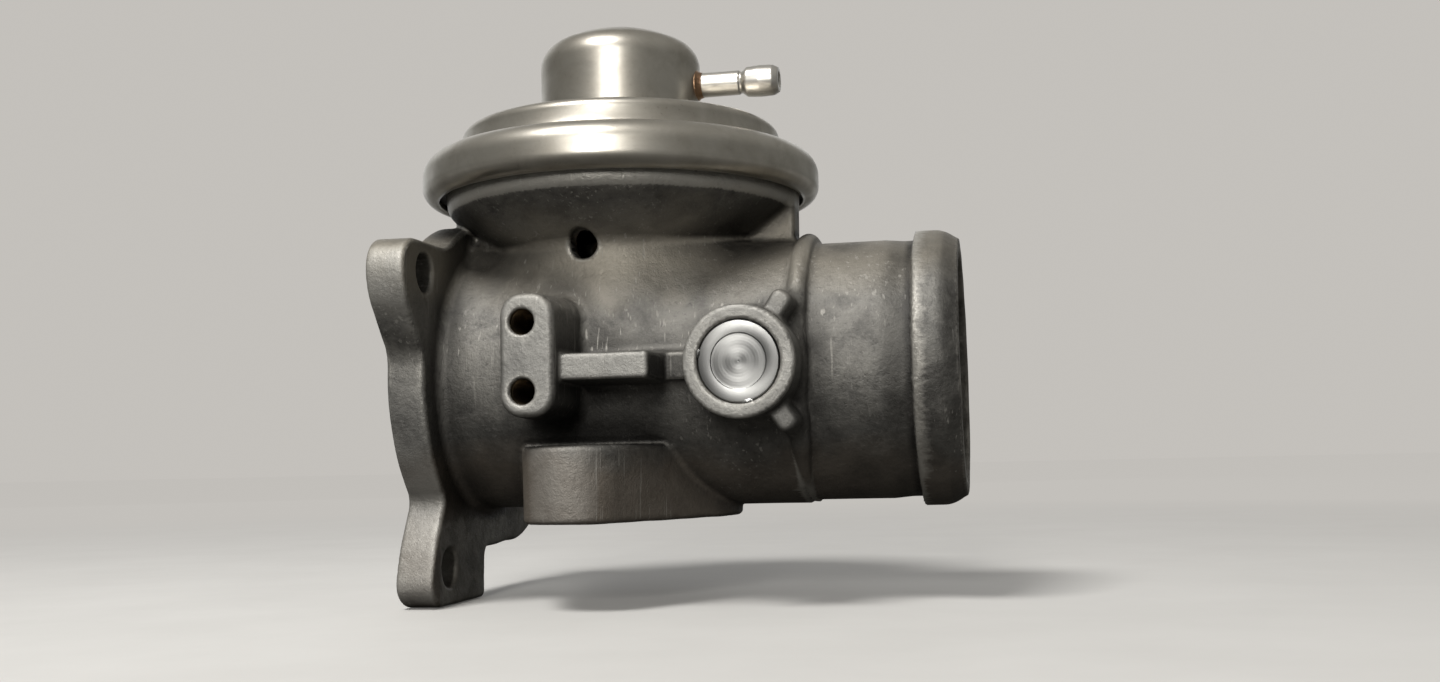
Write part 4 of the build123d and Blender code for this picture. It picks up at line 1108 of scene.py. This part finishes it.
turned("stem_seal_ring", [(30.0, 4.06), (30.0, 6.98), (33.0, 6.98), (33.0, 4.06), (31.5, 4.3)],
       [0.15, 0.3, 0.3, 0.15, 0.4], BLACK_RUBBER, node="stem_seal", rows=64)
turned("seal_retainer_cap",
       [(30.0, 10.52), (30.0, 11.42), (33.9, 11.42), (33.9, 4.42), (33.02, 4.42), (33.02, 10.52)],
       [0.3, 0.3, 1.1, 0.1, 0.1, 0.3], PRESSED_STEEL, node="seal_retainer", rows=96)

# %% [markdown]
# Inside the capsule a cloth diaphragm hangs between two dished plates, clamped by a washer and a
# nut. Vacuum lifts them against a coil spring, which stands in a cup welded in the cap. The
# diaphragm and the spring are the two pieces that change shape when the valve moves.

# %% Plates, washer and spring cup
turned("diaphragm_lower_plate",
       [(38.6, 3.02), (38.6, 25.6), (36.9, 25.6), (36.9, 26.5), (39.5, 26.5), (39.5, 3.02)],
       [0.1, 0.5, 0.3, 0.3, 1.4, 0.1], PRESSED_STEEL, body="valve", node="lower_plate")
turned("diaphragm_upper_plate",
       [(41.2, 3.02), (41.2, 29.6), (44.9, 29.6), (44.9, 30.5), (40.3, 30.5), (40.3, 3.02)],
       [0.1, 0.5, 0.3, 0.3, 1.4, 0.1], PRESSED_STEEL, body="valve", node="upper_plate")
turned("stem_clamp_washer", [(41.5, 3.02), (41.5, 8.0), (42.7, 8.0), (42.7, 3.02)],
       [0.1, 0.35, 0.35, 0.1], PRESSED_STEEL, body="valve", node="stem_washer", rows=64)
turned("spring_seat_cup",
       [(55.5, 0.02), (55.5, 11.4), (74.6, 11.4), (74.6, 15.7), (75.6, 15.7), (75.6, 10.4),
        (56.5, 10.4), (56.5, 0.02)],
       [0, 1.6, 0.6, 0.4, 0.4, 1.2, 0.8, 0], PRESSED_STEEL, node="spring_seat")
turned("manifold_o_ring", arc((1.5, 29.9), 1.4, 0, 342, 20), 0.0, BLACK_RUBBER,
       node="flange_o_ring", rows=128, steps=1, centre=(0, 0, 0), axis=(1, 0, 0))


# %% Stem nut
def hexagon_radius(a, across, level, height):
    """Across-flats hexagon cut by the usual chamfer cone: the smaller of the two radii."""
    flat = across / 2 / np.cos((a + np.pi / 6) % (np.pi / 3) - np.pi / 6)
    corner = across / 2 * 1.13 - 1.4 * np.maximum(0.28 - np.minimum(level, height - level), 0)
    return np.minimum(flat, corner)


NUT_ROWS, NUT_HEIGHT, NUT_ACROSS, NUT_BORE_R, NUT_RECESS_R = 120, 5.0, 10.0, 3.02, 4.3
a = np.linspace(0, 2 * np.pi, NUT_ROWS, endpoint=False)[:, None]
level = np.array([0, 0, 0.12, 0.3, 2.5, 4.7, 4.88, 5.0, 5.0, 5.0, 2.5, 0])[None, :]
outside = hexagon_radius(a, NUT_ACROSS, level, NUT_HEIGHT)
on_bore = np.array([1, 0, 0, 0, 0, 0, 0, 0, 0, 1, 1, 1], dtype=bool)[None, :]
radius = np.where(on_bore, NUT_BORE_R, outside)
radius[:, 8] = NUT_RECESS_R
points = np.stack([VALVE_X + radius * np.cos(a), radius * np.sin(a), 42.7 + level + 0 * a], -1)
faces = grid_faces(NUT_ROWS, level.shape[1])
nut = finish_piece("stem_lock_nut", points.reshape(-1, 3), faces, PRESSED_STEEL, body="valve",
                   node="stem_nut")
close_and_face_out(nut)
nut.data.polygons.foreach_set("use_smooth", np.zeros(len(nut.data.polygons), dtype=bool))
print("nut:", len(nut.data.polygons), "faces")

# %% Return spring
turns, wire_r, mean_r, low_z, high_z, sides = 6, 1.2, 13.6, 42.7, 73.4, 16
t = np.linspace(0, 1, turns * 40 + 1)
rise = low_z + (high_z - low_z) * np.clip(1.14 * t - 0.07, 0, 1)
angle = 2 * np.pi * turns * t
centre_line = np.stack([VALVE_X + mean_r * np.cos(angle), mean_r * np.sin(angle), rise], -1)
out = np.stack([np.cos(angle), np.sin(angle), 0 * angle], -1)
ahead = np.gradient(centre_line, axis=0)
ahead /= np.linalg.norm(ahead, axis=1)[:, None]
upward = np.cross(ahead, out)
around = np.linspace(0, 2 * np.pi, sides, endpoint=False)[None, :, None]
circle = np.cos(around) * out[:, None] + np.sin(around) * upward[:, None]
tube = centre_line[:, None] + wire_r * circle
ends = [centre_line[at, None].repeat(sides, 0)[None] for at in (0, -1)]
tube = np.concatenate([ends[0], tube, ends[1]])
faces = grid_faces(len(tube), sides)[:-sides]
spring = finish_piece("valve_return_spring", tube.reshape(-1, 3), faces, SPRING_STEEL,
                      node="return_spring")
close_and_face_out(spring)
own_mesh(spring)
print("spring:", turns, "turns,", len(spring.data.polygons), "faces")

# %% Diaphragm
diaphragm = turned(
    "cloth_diaphragm",
    [(39.5, 3.02), (39.5, 31.0), (42.9, 33.7), (46.8, 36.9), (46.8, 42.8), (48.4, 42.8), (48.4, 39.4),
     (47.6, 39.4), (47.6, 36.4), (43.5, 33.2), (40.3, 30.6), (40.3, 3.02)],
    [0, 2.5, 0, 0.9, 0.4, 0.4, 0.4, 0.3, 0.8, 0, 1.6, 0],
    DIAPHRAGM_CLOTH, node="diaphragm", rows=160,
)
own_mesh(diaphragm)

# %% [markdown]
# The valve stands on a plain pale table. The table catches the shadow close by and fades into
# the colour of the room further out. In the metal it is mirrored as a quiet grey.

# %% Floor
FLOOR_HALF = 6.0
ROOM = (0.55, 0.53, 0.50, 1)
mesh = bpy.data.meshes.new("floor")
corners = [(-1, -1), (1, -1), (1, 1), (-1, 1)]
points = [(FLOOR_HALF * x, FLOOR_HALF * y, FLOOR_Z * MM) for x, y in corners]
mesh.from_pydata(points, [], [(0, 1, 2, 3)])
floor = bpy.data.objects.new("floor", mesh)
bpy.context.scene.collection.objects.link(floor)
FLOOR, tree, shader = new_material("pale_table", 0.0)
where = place(tree)
cloud = noise(tree, where, 40, 4, 0.6)
colour = blend(tree, levels(tree, cloud, 0.3, 0.7), (0.69, 0.68, 0.655), (0.74, 0.73, 0.705))
tree.links.new(colour, shader.inputs["Base Color"])
shader.inputs["Roughness"].default_value = 0.85
away = add(tree, "VectorMath", {0: where}, operation="LENGTH").outputs["Value"]
far = levels(tree, away, 0.10, 0.65, 0.12, 0.97)
glow = add(tree, "Emission", {"Color": ROOM, "Strength": 1.0})
seen = add(tree, "MixShader", {0: far, 1: shader.outputs[0], 2: glow.outputs[0]})
dull = add(tree, "BsdfDiffuse", {"Color": (0.11, 0.108, 0.102, 1)})
rays = add(tree, "LightPath", {})
grey = add(tree, "Emission", {"Color": (0.27, 0.265, 0.25, 1), "Strength": 1.0})
mirrored = times(tree, rays.outputs["Is Glossy Ray"], levels(tree, away, 0.12, 0.5))
unseen = add(tree, "MixShader", {0: mirrored, 1: dull.outputs[0], 2: grey.outputs[0]})
values = {0: rays.outputs["Is Camera Ray"], 1: unseen.outputs[0], 2: seen.outputs[0]}
surface = add(tree, "MixShader", values)
tree.links.new(surface.outputs[0], tree.nodes["Material Output"].inputs[0])
mesh.materials.append(FLOOR)
print("floor at", FLOOR_Z, "mm")

# %% [markdown]
# The sky lights the piece with a quiet grey and is mirrored in the metal, darker below and paler
# above. To the camera it has the colour of the room.

# %% World
world = bpy.data.worlds.new("pale_room")
bpy.context.scene.world = world
world.use_nodes = True
tree = world.node_tree
tree.nodes.clear()
rays = add(tree, "LightPath", {})
seen = maths(tree, "MAXIMUM", rays.outputs["Is Camera Ray"], rays.outputs["Is Transmission Ray"])
up = add(tree, "SeparateXYZ", {0: add(tree, "TexCoord", {}).outputs["Generated"]}).outputs[2]
room = blend(tree, levels(tree, up, -0.25, 0.75), (0.10, 0.105, 0.10), (0.36, 0.352, 0.33))
light_sky = add(tree, "Background", {"Color": (0.55, 0.55, 0.55, 1), "Strength": 0.19})
glossy_sky = add(tree, "Background", {"Color": room, "Strength": 1.0})
seen_sky = add(tree, "Background", {"Color": ROOM, "Strength": 1.0})
values = {0: rays.outputs["Is Glossy Ray"], 1: light_sky.outputs[0], 2: glossy_sky.outputs[0]}
mixed = add(tree, "MixShader", values)
final = add(tree, "MixShader", {0: seen, 1: mixed.outputs[0], 2: seen_sky.outputs[0]})
add(tree, "OutputWorld", {0: final.outputs[0]})
print("world is ready")

# %% [markdown]
# Three large soft lights: one high in front, one low beside the camera for the shine on the
# capsule, and a very wide and weak one behind, so that the far side can be read too.


# %% Lights
def soft_light(name, at, to, size, watts, colour=(1, 1, 1)):
    """Area light at a point in metres, turned to look at another; its -Z axis is the beam."""
    light = bpy.data.lights.new(name, "AREA")
    light.shape = "RECTANGLE"
    light.size, light.size_y = size
    light.energy = watts
    light.color = colour
    lamp = bpy.data.objects.new(name, light)
    bpy.context.scene.collection.objects.link(lamp)
    back = np.asarray(at, dtype=float) - np.asarray(to, dtype=float)
    back /= np.linalg.norm(back)
    side = np.cross((0.0, 0.0, 1.0), back)
    side /= np.linalg.norm(side)
    rows = np.eye(4)
    rows[:3, 0], rows[:3, 1], rows[:3, 2], rows[:3, 3] = side, np.cross(back, side), back, at
    lamp.matrix_world = Matrix(rows.tolist())


soft_light("key", (-0.17, -0.56, 0.91), (0.05, 0, 0.01), (0.34, 0.30), 10.0, (1.0, 0.985, 0.96))
soft_light("near", (0.05, -0.93, 0.27), (0.05, 0, 0.02), (0.17, 0.32), 4.4, (1.0, 0.98, 0.94))
soft_light("behind", (-0.35, 0.90, 0.36), (0.05, 0, 0.0), (1.5, 0.9), 3.0, (0.97, 0.985, 1.0))
print("three soft lights")

# %% [markdown]
# The camera is a pinhole that looks along the table at the front of the valve. Its frame is a
# level view turned by yaw, then pitch, then roll.


# %% Camera
def turn(axis, degrees):
    """Rotation matrix about X, Y or Z by an angle in degrees."""
    c, s = math.cos(math.radians(degrees)), math.sin(math.radians(degrees))
    a, b = [(1, 2), (2, 0), (0, 1)]["XYZ".index(axis)]
    matrix = np.eye(3)
    matrix[a, a], matrix[a, b], matrix[b, a], matrix[b, b] = c, -s, s, c
    return matrix


YAW, PITCH, ROLL = 11.8, -4.97, -1.26
CAMERA_AT = (128.4, -306.4, -19.5)
level_view = np.array([[1, 0, 0], [0, 0, -1], [0, 1, 0]])
view = turn("Z", ROLL) @ turn("X", PITCH) @ turn("Y", YAW) @ level_view
placed = np.eye(4)
placed[:3, :3] = np.stack([view[0], -view[1], -view[2]], -1)
placed[:3, 3] = np.array(CAMERA_AT) * MM
camera = bpy.data.objects.new("camera", bpy.data.cameras.new("camera"))
camera.data.lens, camera.data.sensor_width = 34.5, 36.0
camera.data.clip_start, camera.data.clip_end = 0.01, 50.0
camera.matrix_world = Matrix(placed.tolist())
bpy.context.scene.collection.objects.link(camera)
bpy.context.scene.camera = camera
bpy.context.scene.view_settings.view_transform = "Standard"
print("camera at", placed[:3, 3].round(4).tolist())
